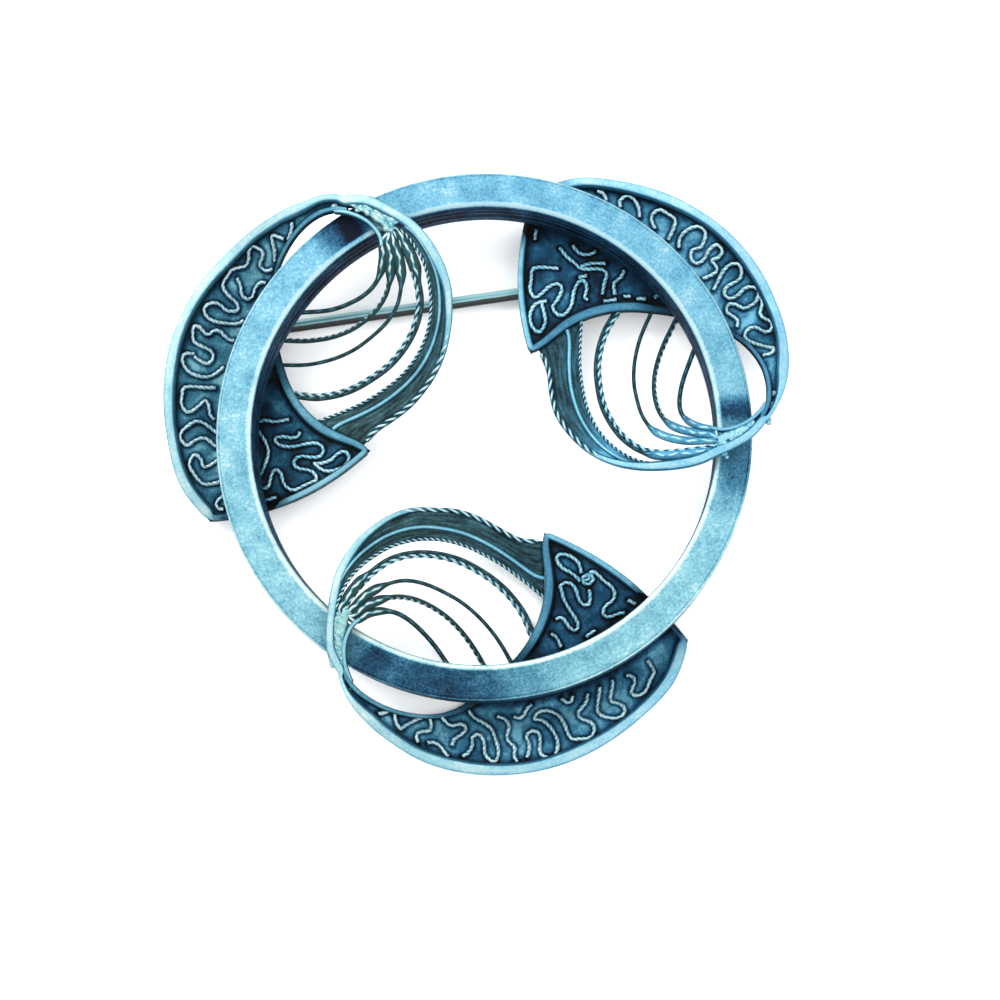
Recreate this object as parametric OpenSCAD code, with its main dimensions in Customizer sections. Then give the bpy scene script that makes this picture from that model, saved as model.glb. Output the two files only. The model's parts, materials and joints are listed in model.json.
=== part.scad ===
// Circle brooch of oxidised silver, lying on its back: a flat-faced ring with three curled filigree
// leaves threaded on it, and a straight pin on a riveted hinge behind. Millimetres, +Z up.
// The jewel is drawn with its ring level, then laid on its three resting points: hinge, catch, lowest leaf.

/* [Ring] */
// Outer diameter of the ring
ring_od = 44; // [43:0.5:46]
// Width of the ring's flat face
ring_face = 2.9; // [2.4:0.1:3.2]
// Height of the ring's wall
ring_height = 4.2; // [3:0.1:4.6]
// Width of the bevel along the ring's edges
ring_bevel = 0.2; // [0.1:0.05:0.4]

/* [Leaves] */
// Thickness of a leaf's plate
plate_t = 0.5; // [0.4:0.05:0.8]
// How far the strip round a leaf stands above its plate
border_rise = 0.45; // [0.2:0.05:0.8]
// Width of the strip along the outer rim
rim_w = 1; // [0.8:0.1:1.6]
// Width of the strip along the inner edge, where it is widest
edge_w = 1; // [0.6:0.1:1.3]
// Height of the knot above the ring's face
knot_rise = 0.75; // [0.6:0.05:1.2]
// Thickness of the sheet between the fan's two outermost wires
web_t = 0.35; // [0.3:0.05:0.5]

/* [Pin] */
// Diameter of the pin stem's wire
stem_d = 1; // [0.8:0.05:1.1]
// Length of the stem from its rivet to its point
stem_len = 27; // [26:0.5:28]
// Length of the stem's tapered point
point_len = 3.5; // [2:0.5:5]
// Length of the stem's shank, which tapers from the hinge
shank_len = 3; // [2:0.5:4]
// Diameter of the hinge rivet
rivet_d = 0.7; // [0.6:0.05:0.8]
// Running clearance between the rivet and the stem's eye
eye_play = 0.05; // [0.03:0.01:0.08]
// How far below the leaves' undersides the stem's axis lies
stem_drop = 1.35; // [1.3:0.05:1.6]

/* [Hidden] */
// How a leaf sits on the ring: its angle round the ring, its twist there, how far out it lies, how far to
// the side its wires meet, how far its rim bulges beside the knot, and the rim of its fan from the knot to
// the inner tip. x runs outward through the knot and y along the leaf.
LEAF = 0;
ANGLE = 1;
TWIST = 2;
OUT = 3;
SIDE = 4;
BULGE = 5;
FAN_RIM = 6;
LEAVES = [
    ["right", -3.8, 3.5, 1.1, 0.75, 0,
     [[18.1, -0.9], [16.8, -1.5], [15.4, -1.85], [13.9, -2], [12.3, -2], [10.8, -1.8], [9.4, -1.4], [8, -0.7],
      [6.8, 0.25], [5.6, 1.6], [4.7, 3.1], [4.25, 4.9], [4.05, 6.7], [3.5, 8.15]]],
    ["left", 115.6, -2.4, 0, 0, 0.8,
     [[18.1, -2.75], [16.7, -3.2], [15.3, -3.42], [13.8, -3.5], [12.2, -3.3], [10.6, -2.7], [9.1, -1.9],
      [7.6, -0.8], [6.3, 0.6], [5.3, 2.2], [4.6, 3.8], [4.2, 5.5], [3.95, 7], [3.45, 8.2]]],
    ["bottom", 235, -1.2, 0.8, 0, 0,
     [[18.1, -2.05], [16.9, -2.65], [15.6, -3.2], [13.9, -3.5], [12.1, -3.5], [10.4, -3.15], [8.9, -2.55],
      [7.5, -1.55], [6.4, -0.1], [5.4, 1.4], [4.8, 3.1], [4.5, 5], [4.2, 6.9], [3.45, 8.2]]]];
PIVOT = [20.5, 0];

function leaf_nodes(piece) = [for (seat = LEAVES) str(piece, "_", seat[LEAF])];

gap = 0.1;
ring_r = ring_od / 2;
bore_r = ring_r - ring_face;
ring_z = plate_t + gap;
ring_top = ring_z + ring_height;

// Bright silver, darkened silver, and the duller stem
silver = "#a8dbe6";
dark_silver = "#4f7f96";
stem_silver = "#8ab6c0";

// A leaf is drawn in polar places round the ring's centre, with its knot at angle 0 and its tips near 80.
// Outer rim from the knot to the outer tip, as angle and radius
RIM = [[5, 22.2], [8, 23.2], [12, 24.2], [18, 25.3], [26, 26.4], [36, 27], [46, 27.1], [56, 26.65],
       [66, 25.9], [75, 25], [83, 23.3]];
// Inner edge from the knot, down and under the ring, and round to the inner tip
EDGE = [[5.5, 21.3], [8, 22], [13, 22.6], [19, 22.8], [26, 22.4], [32, 21.3], [38, 19.5], [44, 17.75],
        [50, 16.1], [56, 14.2], [61, 12.2], [66, 9.8], [71, 8.6]];
// How far the end between the two tips bows along the leaf
end_bow = 1.2;

// Rim beside the knot: where its bulge starts to fade, and over what stretch
bulge_from = 5;
bulge_run = 8;

// The fan's inner wires from the knot over the ring's bore to just short of the leaf's inner edge: radius,
// share of the wire spent falling, and places. The first is the inner side of the band, the rest are ribs.
WIRE_R = 0;
FALL = 1;
PLACES = 2;
WIRES = [
    [0, 1, [[17.9, -1.3], [16.7, -1.68], [15.4, -1.87], [14.1, -1.8], [12.8, -1.48], [11.4, -0.95],
            [10.1, -0.1], [9, 1], [8.15, 2.3], [7.55, 3.8], [7.2, 5.5], [7, 7.3], [7, 9.2], [7.1, 11]]],
    [0.3, 1, [[17.9, -0.9], [16.3, -1], [14.9, -0.95], [13.5, -0.75], [12.1, -0.3], [10.7, 0.75], [9.6, 2.2],
              [8.8, 4], [8.45, 6], [8.4, 7.7], [8.65, 9.3], [9.15, 10.8], [9.85, 12]]],
    [0.18, 0.95, [[17.75, -0.35], [16.5, -0.25], [15.2, 0.05], [13.9, 0.65], [12.75, 1.6], [12, 3],
                  [11.6, 4.6], [11.4, 6.2], [11.5, 7.9], [11.85, 9.6], [12.3, 10.9], [12.75, 11.9]]],
    [0.2, 0.9, [[17.7, 0.12], [16.7, 0.35], [15.7, 0.75], [14.8, 1.3], [14, 2.1], [13.4, 3.3], [13.1, 4.8],
                [13.1, 6.3], [13.4, 7.9], [13.95, 9.5], [14.5, 10.7], [14.9, 11.5]]],
    [0.2, 0.72, [[17.75, 0.62], [16.8, 0.95], [15.9, 1.6], [15.3, 2.6], [15.15, 3.8], [15.3, 5.2],
                 [15.6, 6.5], [16.05, 7.8], [16.5, 9], [16.9, 10.2], [17.1, 11.05]]]];
band_rim_w = 0.8;
band_wire_w = 0.4;
band_rise = 0.25;
band_steps = 24;
rib_steps = 20;
wire_sides = 8;
// Distance from the knot over which a wire's shift to the side dies out
side_run = 8;

// The knot's grains lie in rows along a slanting line on the ring: where it starts, its slant, and the number
// of grains in each row, then their radius, spacing and rise, and the smaller bead that leans on each
KNOT = [18.5, -0.35];
knot_z = ring_top + knot_rise;
knot_slant = 37;
KNOT_ROWS = [3, 3, 2, 2, 1];
grain_r = 0.42;
grain_pitch = 0.6;
grain_heap = 0.06;
bead_r = 0.34;
bead_lean = [0.1, 0.06, 0.2];

// Largest shares of the band's width that its two wires take near the knot
band_rim_share = 0.4;
band_wire_share = 0.3;

// Bed of a leaf: level under the ring, cupped upward inside and outside it, and lifted over it at the knot
seat_out = ring_r + 0.6;
seat_in = bore_r - 0.6;
bed_low = plate_t / 2;
cup_out = 0.21;
cup_in = 0.07;
cup_power = 1.5;
lift_from = 9;
lift_to = 31;
lift = ring_top + 0.2;
// The border strip sinks into the plate where it passes the ring, except where the plate is over the ring
sink_clear = 0.9;
sink_run = 0.8;
over_ring = ring_z + 1;

// Stations along a plate and lanes across it. A strip's side wall leans by step_w.
plate_steps = 28;
plate_lanes = 11;
step_w = 0.05;
end_from = 0.97;
step_share = 0.002;
// Largest share of the leaf's width that one border strip takes near the knot
strip_share = 0.42;
// The strip along the inner edge starts at this share of its width and grows over this stretch of the leaf
edge_thin = 0.5;
edge_grow_from = 0.3;
edge_grow_run = 0.25;

// The pin's line behind the jewel, from the rivet under the left leaf to the catch under the right one
hinge_at = [-20.4, 9.9, -stem_drop];
stem_angle = 8;
catch_reach = 25.7;
bore_over = 1;
shank_d = stem_d + 0.15;
point_d = 0.24;
eye_d = 1.5;
eye_w = 1.1;
ear_t = 0.6;
ear_r = 0.8;
ear_gap = 0.05;
inside_w = eye_w + 2 * ear_gap;
outside_w = inside_w + 2 * ear_t;
base_len = 3;
base_t = 0.45;
base_z = stem_drop - base_t - gap;

// Plain clip with two cheeks, whose roof follows the slope of the leaf above it
clip_play = 0.1;
cheek_t = 0.45;
cheek_len = 2.2;
cheek_low = -ear_r;
clip_half = stem_d / 2 + clip_play + cheek_t;
clip_roof_in = 1.95;
clip_roof_out = 1.5;

// The jewel lies on the hinge, the catch and the low line of the bottom leaf
pin_line = [cos(stem_angle), sin(stem_angle), 0];
downhill = [sin(stem_angle), -cos(stem_angle), 0];
hinge_low = hinge_at + outside_w / 2 * downhill - [0, 0, ear_r];
leaf_low = seat_out * downhill;
rest_tilt = atan(-hinge_low.z / ((leaf_low - hinge_low) * downhill));
stand_z = -hinge_low.z * cos(rest_tilt) + hinge_low * downhill * sin(rest_tilt);
// Place of the ring's centre, which puts the middle of the jewel's box on the origin
ring_place = [0.88, 2.698, stand_z];

module lying() {
    translate(ring_place) rotate(rest_tilt, pin_line) children();
}

function mix(a, b, t) = a + (b - a) * t;
function clamp(t) = min(1, max(0, t));
function smooth(t) = let (u = clamp(t)) u * u * (3 - 2 * u);

// Smooth curve through a table's rows at t from 0 to 1
function catmull(a, b, c, d, u) =
    0.5 * (2 * b + (c - a) * u + (2 * a - 5 * b + 4 * c - d) * u * u + (3 * b - a - 3 * c + d) * u * u * u);
function along(table, t) =
    let (last = len(table) - 1, s = clamp(t) * last, i = min(floor(s), last - 1))
    catmull(table[max(i - 1, 0)], table[i], table[i + 1], table[min(i + 2, last)], s - i);

// A place of the common design as one leaf wears it: turned about the pivot, then moved outward
function seated(seat, p) =
    let (d = p - PIVOT, c = cos(seat[TWIST]), s = sin(seat[TWIST]))
    PIVOT + [seat[OUT] + c * d.x - s * d.y, s * d.x + c * d.y];
function polar(angle, r) = r * [cos(angle), sin(angle)];
function rim_point(seat, t) =
    let (place = along(RIM, t),
         bulge = seat[BULGE] * (1 - smooth((place[0] - bulge_from) / bulge_run)))
    seated(seat, polar(place[0], place[1] + bulge));
function edge_point(seat, t) =
    let (place = along(EDGE, t))
    seated(seat, polar(place[0], place[1]));
function bed(p) =
    let (r = norm(p), angle = atan2(p.y, p.x))
    bed_low
    + cup_out * pow(max(0, r - seat_out), cup_power)
    + cup_in * pow(max(0, seat_in - r), cup_power)
    + lift * (1 - smooth((angle - lift_from) / (lift_to - lift_from)));
function ring_clear(p) = max(norm(p) - ring_r, bore_r - norm(p));
function strip_top(p) =
    let (over = bed(p) > over_ring ? 1 : clamp((ring_clear(p) - sink_clear) / sink_run))
    bed(p) + plate_t / 2 + border_rise * over;

// Closed skin over rings of points, all with the same number of points
module skin(rings) {
    sides = len(rings[0]);
    last = len(rings) - 1;
    points = [for (ring = rings) for (p = ring) p];
    walls = [for (i = [0:last - 1]) for (j = [0:sides - 1])
        let (a = i * sides + j, b = i * sides + (j + 1) % sides, c = b + sides, d = a + sides)
        for (face = [[a, b, c], [a, c, d]]) face];
    caps = [for (j = [0:sides / 2 - 2])
        let (a = j, b = j + 1, c = sides - 2 - j, d = sides - 1 - j, far = last * sides)
        for (face = [[a, c, b], [a, d, c], [far + a, far + b, far + c], [far + a, far + c, far + d]]) face];
    polyhedron(points, concat(walls, caps), convexity = 10);
}

// Round wire along a list of points
module wire(path, r) {
    sides = wire_sides;
    last = len(path) - 1;
    skin([for (i = [0:last])
        let (d = path[min(i + 1, last)] - path[max(i - 1, 0)],
             along_wire = d / norm(d),
             side = cross([0, 0, 1], along_wire),
             u = side / norm(side),
             v = cross(along_wire, u))
        [for (j = [0:sides - 1]) path[i] + r * (cos(360 * j / sides) * u + sin(360 * j / sides) * v)]]);
}

// Places of the lanes across a leaf: rim strip, step, plate, step, edge strip, as shares of the width
function lanes(width, edge_strip) =
    let (rim_share = min(strip_share, rim_w / width),
         edge_share = 1 - min(strip_share, edge_strip / width),
         step = step_w / width)
    concat([0, rim_share],
           [for (j = [0:plate_lanes]) mix(rim_share + step, edge_share - step, j / plate_lanes)],
           [edge_share, 1]);
// Stations along a leaf, ending in the step up to its end strip
stations = concat([for (i = [0:plate_steps]) end_from * i / plate_steps], [end_from + step_share, 1]);

// Sheet of the leaf between its rim and its inner edge, with the strip round it raised
module leaf_plate(seat) {
    color(dark_silver)
    lying() rotate([0, 0, seat[ANGLE]])
    skin([for (t = stations)
        let (rim = rim_point(seat, t),
             edge = edge_point(seat, t),
             ahead = [edge.y - rim.y, rim.x - edge.x] / norm(edge - rim),
             edge_strip = edge_w * mix(edge_thin, 1, smooth((t - edge_grow_from) / edge_grow_run)),
             shares = lanes(norm(edge - rim), edge_strip),
             last = len(shares) - 1,
             bow = end_bow * smooth(2 * t - 1) * ahead,
             line = [for (v = shares) mix(rim, edge, v) + 4 * v * (1 - v) * bow])
        concat([for (j = [0:last]) [line[j].x, line[j].y,
                    t > end_from || j < 2 || j > last - 2 ? strip_top(line[j])
                                                          : bed(line[j]) + plate_t / 2]],
               [for (j = [last:-1:0]) [line[j].x, line[j].y, bed(line[j]) - plate_t / 2]])]);
}

// Point at t from the knot to the foot of a fan wire whose last share of the fall ends before its foot
function fan_point(seat, places, fall, t) =
    let (p = seated(seat, along(places, t)),
         foot = seated(seat, places[len(places) - 1]))
    [p.x, p.y, mix(knot_z, bed(foot), smooth(t / fall))];
function wire_point(seat, i, t) =
    let (places = [for (p = WIRES[i][PLACES]) p + [0, seat[SIDE] * smooth(1 - norm(p - KNOT) / side_run)]])
    fan_point(seat, places, WIRES[i][FALL], t);

// Outer band of the fan: a web with a broad wire raised along its rim and a thinner one along its inner side
module fan_band(seat) {
    up = [0, 0, 1];
    color(dark_silver)
    lying() rotate([0, 0, seat[ANGLE]])
    skin([for (i = [0:band_steps])
        let (t = i / band_steps,
             a = fan_point(seat, seat[FAN_RIM], 1, t),
             b = wire_point(seat, 0, t),
             width = norm(b - a),
             outer = min(band_rim_share, band_rim_w / width),
             inner = 1 - min(band_wire_share, band_wire_w / width),
             step = step_w / width,
             shares = [0, outer, outer + step, inner - step, inner, 1],
             raised = [1, 1, 0, 0, 1, 1])
        concat([for (j = [5:-1:0]) mix(a, b, shares[j]) - up * web_t / 2],
               [for (j = [0:5]) mix(a, b, shares[j]) + up * (web_t / 2 + band_rise * raised[j])])]);
}

// One of the fan's four free ribs, counted from the band inward
module rib(seat, i) {
    color(silver)
    lying() rotate([0, 0, seat[ANGLE]])
    wire([for (j = [0:rib_steps]) wire_point(seat, i, j / rib_steps)], WIRES[i][WIRE_R]);
}

// Solder grains heaped on the ring where every wire of a leaf meets
module knot(seat) {
    color(silver)
    lying() rotate([0, 0, seat[ANGLE]])
    translate(concat(seated(seat, KNOT + [0, seat[SIDE]]), [ring_top + gap + grain_r]))
    rotate([0, 0, seat[TWIST] + knot_slant])
    for (row = [0:len(KNOT_ROWS) - 1])
        for (column = [0:KNOT_ROWS[row] - 1])
            translate([row + 1 / 2, column - (KNOT_ROWS[row] - 1) / 2, 0] * grain_pitch)
            translate([0, 0, grain_heap * (row % 2 + column % 2)])
            hull() {
                sphere(grain_r, $fn = 6);
                translate([bead_lean.x, bead_lean.y * column, bead_lean.z]) sphere(bead_r, $fn = 6);
            }
}

module ring() {
    color(silver)
    lying()
    translate([0, 0, ring_z])
    rotate_extrude($fn = 128)
    translate([bore_r, 0])
    polygon([[ring_bevel, 0], [ring_face - ring_bevel, 0], [ring_face, ring_bevel],
             [ring_face, ring_height - ring_bevel], [ring_face - ring_bevel, ring_height],
             [ring_bevel, ring_height], [0, ring_height - ring_bevel], [0, ring_bevel]]);
}

module along_pin() {
    lying() translate(hinge_at) rotate([0, 0, stem_angle]) children();
}

// Cylinder across the pin's line, centred on it
module across(r, width) {
    rotate([90, 0, 0]) cylinder(r = r, h = width, center = true, $fn = 48);
}

module hinge_block() {
    color(silver)
    along_pin()
    difference() {
        union() {
            translate([-base_len / 2, -outside_w / 2, base_z]) cube([base_len, outside_w, base_t]);
            for (side = [-1, 1])
                translate([0, side * (inside_w + ear_t) / 2, 0]) {
                    across(ear_r, ear_t);
                    translate([-ear_r, -ear_t / 2, 0]) cube([2 * ear_r, ear_t, base_z + base_t / 2]);
                }
        }
        across(rivet_d / 2, outside_w + 2 * bore_over);
    }
}

module hinge_rivet() {
    color(silver)
    along_pin() across(rivet_d / 2, outside_w);
}

module pin_stem() {
    color(stem_silver)
    along_pin()
    difference() {
        union() {
            across(eye_d / 2, eye_w);
            rotate([0, 90, 0]) cylinder(d1 = shank_d, d2 = stem_d, h = shank_len, $fn = 48);
            translate([shank_len, 0, 0])
                rotate([0, 90, 0]) cylinder(d = stem_d, h = stem_len - point_len - shank_len, $fn = 48);
            translate([stem_len - point_len, 0, 0])
                rotate([0, 90, 0]) cylinder(d1 = stem_d, d2 = point_d, h = point_len, $fn = 48);
        }
        across(rivet_d / 2 + eye_play, eye_w + 2 * bore_over);
    }
}

// The stem leaves the catch away from the jewel's back
module catch() {
    slot = stem_d / 2 + clip_play;
    color(silver)
    along_pin()
    translate([catch_reach, 0, 0])
    rotate([90, 0, 90])
    linear_extrude(cheek_len, center = true)
    polygon([[-clip_half, cheek_low], [-slot, cheek_low], [-slot, slot], [slot, slot], [slot, cheek_low],
             [clip_half, cheek_low], [clip_half, clip_roof_out], [-clip_half, clip_roof_in]]);
}

ring();
for (seat = LEAVES) {
    leaf_plate(seat);
    fan_band(seat);
    for (i = [1:4])
        rib(seat, i);
    knot(seat);
}
hinge_block();
hinge_rivet();
pin_stem();
catch();
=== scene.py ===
# %% [markdown]
# # A silver circle brooch
# The real jewel is a flat-faced hoop of square-edged silver strip. Three curled filigree leaves are threaded
# on it, and a straight pin is hinged behind. Everything is darkened with oxide, then rubbed, so that high
# places are bright and hollows stay nearly black. The packed model gives every piece's place. This script
# gives it fine shapes and finishes around that frame, and moves nothing.

# %% Load the packed model as a fixed frame
import json
import math

import bpy
import numpy as np
from mathutils import Matrix


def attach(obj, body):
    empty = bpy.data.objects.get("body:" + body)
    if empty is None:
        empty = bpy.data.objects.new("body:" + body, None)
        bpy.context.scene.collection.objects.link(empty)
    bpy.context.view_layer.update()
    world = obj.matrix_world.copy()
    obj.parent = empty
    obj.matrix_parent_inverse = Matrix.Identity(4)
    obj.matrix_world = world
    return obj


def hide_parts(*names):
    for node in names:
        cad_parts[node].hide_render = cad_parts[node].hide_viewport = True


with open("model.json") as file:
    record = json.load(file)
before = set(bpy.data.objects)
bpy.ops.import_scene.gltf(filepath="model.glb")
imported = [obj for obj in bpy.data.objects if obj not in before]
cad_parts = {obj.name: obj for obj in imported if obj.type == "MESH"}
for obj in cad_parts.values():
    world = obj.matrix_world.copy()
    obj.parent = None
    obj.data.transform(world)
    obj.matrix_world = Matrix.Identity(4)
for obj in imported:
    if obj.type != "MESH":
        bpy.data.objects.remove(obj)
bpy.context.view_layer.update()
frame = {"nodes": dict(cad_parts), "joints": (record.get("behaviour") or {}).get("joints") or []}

MM = 0.001

# %% [markdown]
# ## The level jewel and how it lies
# A jeweller builds this brooch with its hoop level, and so does this script: every shape below is worked out
# in millimetres with the hoop's centre at the origin. The finished jewel lies on its pin hinge, its catch and
# the lowest leaf, which tilts it a little. The packed joint says by how much, because its axis was level
# and square to the pin before the jewel was laid down, so the turn is read from it and not typed in.

# %% Lay the level jewel on the floor
HINGE_MM = np.array([-20.4, 9.9, -1.35])

joint = frame["joints"][0]
hinge_axis = np.array(joint["axis"], float)
hinge_axis /= np.linalg.norm(hinge_axis)
pin_turn = math.atan2(-hinge_axis[0], hinge_axis[1])
tilt = math.asin(hinge_axis[2])
pin_line = np.array([math.cos(pin_turn), math.sin(pin_turn), 0.0])


def turned(axis, angle):
    """Rotation matrix about a unit axis with the cross matrix K:
    identity + sin(angle) K + (1 - cos(angle)) K K."""
    x, y, z = axis
    cross = np.array([[0, -z, y], [z, 0, -x], [-y, x, 0]])
    return np.eye(3) + math.sin(angle) * cross + (1 - math.cos(angle)) * cross @ cross


LAY = turned(pin_line, tilt)
PLACE = np.array(joint["pos_m"]) - LAY @ (HINGE_MM * MM)


def laid(points):
    """Level millimetres to the frame's metres: turned about the pin's line, then moved."""
    return np.asarray(points, float) @ LAY.T * MM + PLACE


print("jewel tilts by", round(math.degrees(tilt), 3), "degrees, hoop's centre at", laid([0, 0, 0]).round(5))

# %% [markdown]
# ## The camera
# A photographer shoots such a jewel from almost straight above with a short telephoto lens. The view was
# fitted to the hoop, which is a known circle: 8.5 degrees towards the lower edge and 2 to the right.

# %% Camera at the photograph's angle
VIEW_TILT = math.radians(8.5)
VIEW_SIDE = math.radians(2.0)
VIEW_DISTANCE = 158.0
VIEW_TARGET = np.array([1.411, -5.715, 5.0])
LENS = 69.93
SENSOR = 36
NEAREST_M = 0.005

backward = np.array([math.sin(VIEW_SIDE), -math.sin(VIEW_TILT) * math.cos(VIEW_SIDE),
                     math.cos(VIEW_TILT) * math.cos(VIEW_SIDE)])
right = np.cross([0, 1, 0], backward)
right /= np.linalg.norm(right)
camera_up = np.cross(backward, right)

lens = bpy.data.cameras.new("view")
lens.lens = LENS
lens.sensor_width = SENSOR
lens.clip_start = NEAREST_M
camera = bpy.data.objects.new("view", lens)
bpy.context.scene.collection.objects.link(camera)


def stand(thing, axes, place):
    """Puts a camera or a light at a place, with three unit vectors as its own x, y and z axes."""
    matrix = np.eye(4)
    matrix[:3, :3] = np.column_stack(axes)
    matrix[:3, 3] = place
    thing.matrix_world = Matrix(matrix.tolist())


stand(camera, [LAY @ axis for axis in (right, camera_up, backward)],
      laid(VIEW_TARGET + VIEW_DISTANCE * backward))
bpy.context.scene.camera = camera
print("camera stands", round(VIEW_DISTANCE), "mm away")

# %% [markdown]
# ## Curves
# The bends of a hand-made jewel follow no rule, so a few places are traced for each, and a smooth curve is
# laid through them. A second helper eases a value in and out, where a wire widens or a sheet begins to rise.

# %% Easing and curves


def smooth(u):
    """Eases from 0 to 1: three u squared minus two u cubed, held at the ends."""
    u = np.clip(u, 0, 1)
    return u * u * (3 - 2 * u)


def along(table, t):
    """Catmull-Rom curve through the rows a, b, c, d around each t:
    half of 2b + (c - a)u + (2a - 5b + 4c - d)u^2 + (3b - a - 3c + d)u^3."""
    table = np.asarray(table, float)
    last = len(table) - 1
    s = np.clip(t, 0, 1) * last
    i = np.minimum(s.astype(int), last - 1)
    u = (s - i)[..., None]
    a, b, c, d = (table[np.clip(i + k, 0, last)] for k in (-1, 0, 1, 2))
    return 0.5 * (2 * b + (c - a) * u + (2 * a - 5 * b + 4 * c - d) * u**2 + (3 * b - a - 3 * c + d) * u**3)


print("a quarter of the way from 0 to 1 eases to", smooth(0.25))

# %% [markdown]
# ## Paths
# A wire or a strip follows a path. The curve is cut into even steps, so that a twist keeps its pitch and a
# width can be given at each step. Drawn wire makes no sharp corner, so a path's bends are softened.

# %% Steps along a path
STEP = 0.07
SOFT = 0.2


def lengths(path):
    """Distance along a path to each of its points: the running sum of its steps."""
    return np.concatenate([[0], np.cumsum(np.linalg.norm(np.diff(path, axis=0), axis=1))])


def evenly(path):
    """The path again in even steps. Columns after the third are values that are carried along."""
    s = lengths(path[:, :3])
    new = np.linspace(0, s[-1], max(int(s[-1] / STEP), 2) + 1)
    return np.column_stack([np.interp(new, s, column) for column in path.T])


def softened(path, spread=SOFT):
    """A path of even steps blurred by the bell curve exp(-(s / spread)^2 / 2), with its two ends kept."""
    reach = min(max(int(3 * spread / STEP), 1), len(path) - 2)
    bell = np.exp(-0.5 * (np.arange(-reach, reach + 1) * STEP / spread) ** 2)
    bell /= bell.sum()
    head = 2 * path[0] - path[reach:0:-1]
    tail = 2 * path[-1] - path[-2:-reach - 2:-1]
    longer = np.vstack([head, path, tail])
    return np.column_stack([np.convolve(column, bell, "valid") for column in longer.T])


print("steps of", STEP, "mm, bends softened over", SOFT, "mm")

# %% [markdown]
# ## Directions along a path
# A profile is carried upright along its path, so each point needs three directions: ahead, level to the left
# and up. A wire that lies beside another one is the same path, moved to its left.

# %% Directions and neighbours


def frames(path):
    """Unit vectors at each point: along the path, level to its left, and up across it."""
    ahead = np.gradient(path, axis=0)
    ahead /= np.linalg.norm(ahead, axis=1, keepdims=True)
    left = np.cross([0, 0, 1], ahead)
    left /= np.linalg.norm(left, axis=1, keepdims=True)
    return ahead, left, np.cross(ahead, left)


def beside(path, distance):
    """A path moved level to its left."""
    return path + distance * frames(path)[1]


print("left of the x axis lies", frames(np.array([[0.0, 0, 0], [1, 0, 0]]))[1][0])

# %% [markdown]
# ## A mesh from whole arrays
# Blender can take a mesh as a few long arrays, which is far quicker than adding its points one by one. Values
# such as wear travel with the points as attributes, and the finish reads them later by name.

# %% Helper that makes an object


def piece(name, body, slot, finish, points, quads, tris, replaced, values):
    """Mesh object from whole arrays, in the frame's metres, riding on a body."""
    mesh = bpy.data.meshes.new(name)
    mesh.vertices.add(len(points))
    mesh.vertices.foreach_set("co", laid(points).astype(np.float32).ravel())
    corners = np.concatenate([quads.ravel(), tris.ravel()]).astype(np.int32)
    starts = np.concatenate([np.arange(len(quads)) * 4, quads.size + np.arange(len(tris)) * 3])
    mesh.loops.add(len(corners))
    mesh.loops.foreach_set("vertex_index", corners)
    mesh.polygons.add(len(starts))
    mesh.polygons.foreach_set("loop_start", starts.astype(np.int32))
    mesh.polygons.foreach_set("use_smooth", np.ones(len(starts), bool))
    mesh.update(calc_edges=True)
    mesh.validate()
    for key, value in values.items():
        mesh.attributes.new(key, "FLOAT", "POINT").data.foreach_set("value", value.astype(np.float32))
    mesh.materials.append(finish)
    made = bpy.data.objects.new(name, mesh)
    bpy.context.scene.collection.objects.link(made)
    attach(made, body)
    if replaced:
        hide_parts(*replaced)
    print(name, len(points), "points,", 2 * len(quads) + len(tris), "triangles")
    return made


print("helper made:", piece.__name__)

# %% [markdown]
# ## Skins
# Every piece is one or more closed skins over grids of points: wires and strips are rings of points one after
# the other, and a hoop's last ring meets its first. numpy joins them all at once.

# %% Helper that makes a piece from grids


def skin(name, body, slot, finish, grids, replaced=(), ring=False, **values):
    """Joins ring after ring of each grid by quads. A fan closes each end, or a ring's ends meet."""
    points, quads, tris, start = [], [], [], 0
    carried = {key: [] for key in values}
    for g, grid in enumerate(grids):
        n, m = grid.shape[:2]
        index = start + np.arange(n * m).reshape(n, m)
        across = np.roll(index, -1, axis=1)
        rows = slice(None) if ring else slice(0, -1)
        after, beyond = (np.roll(k, -1, axis=0) for k in (index, across))
        quads.append(np.stack([index[rows], across[rows], beyond[rows], after[rows]], -1).reshape(-1, 4))
        ends = [] if ring else [grid[:1].mean(1), grid[-1:].mean(1)]
        if not ring:
            first, last = start + n * m, start + n * m + 1
            tris.append(np.stack([across[0], index[0], np.full(m, first)], -1))
            tris.append(np.stack([index[-1], across[-1], np.full(m, last)], -1))
        points += [grid.reshape(-1, 3), *ends]
        for key, arrays in values.items():
            value = np.broadcast_to(arrays[g], (n, m))
            carried[key] += [value.ravel()] + ([] if ring else [value[:1].mean(1), value[-1:].mean(1)])
        start += n * m + len(ends)
    points, quads = np.vstack(points), np.vstack(quads)
    tris = np.vstack(tris) if tris else np.zeros((0, 3), int)
    # The sum of a . (b x c) over the quads has the sign of the volume, so it tells if the skin is inside out
    a, b, c = ((points - points.mean(0))[quads[:, k]] for k in (0, 1, 2))
    if np.einsum("ij,ij->i", a, np.cross(b, c)).sum() < 0:
        quads, tris = quads[:, ::-1], tris[:, ::-1]
    return piece(name, body, slot, finish, points, quads, tris, replaced,
                 {key: np.concatenate(value) for key, value in carried.items()})


print("helper made:", skin.__name__)

# %% [markdown]
# ## Shader maths as Python
# A finish is a graph of nodes. Written as expressions it reads like a recipe: `rub + (cloud - 0.5) * 0.3`. A
# small class wraps a socket, and its operators add the Math nodes.

# %% Values that add their own nodes


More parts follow.
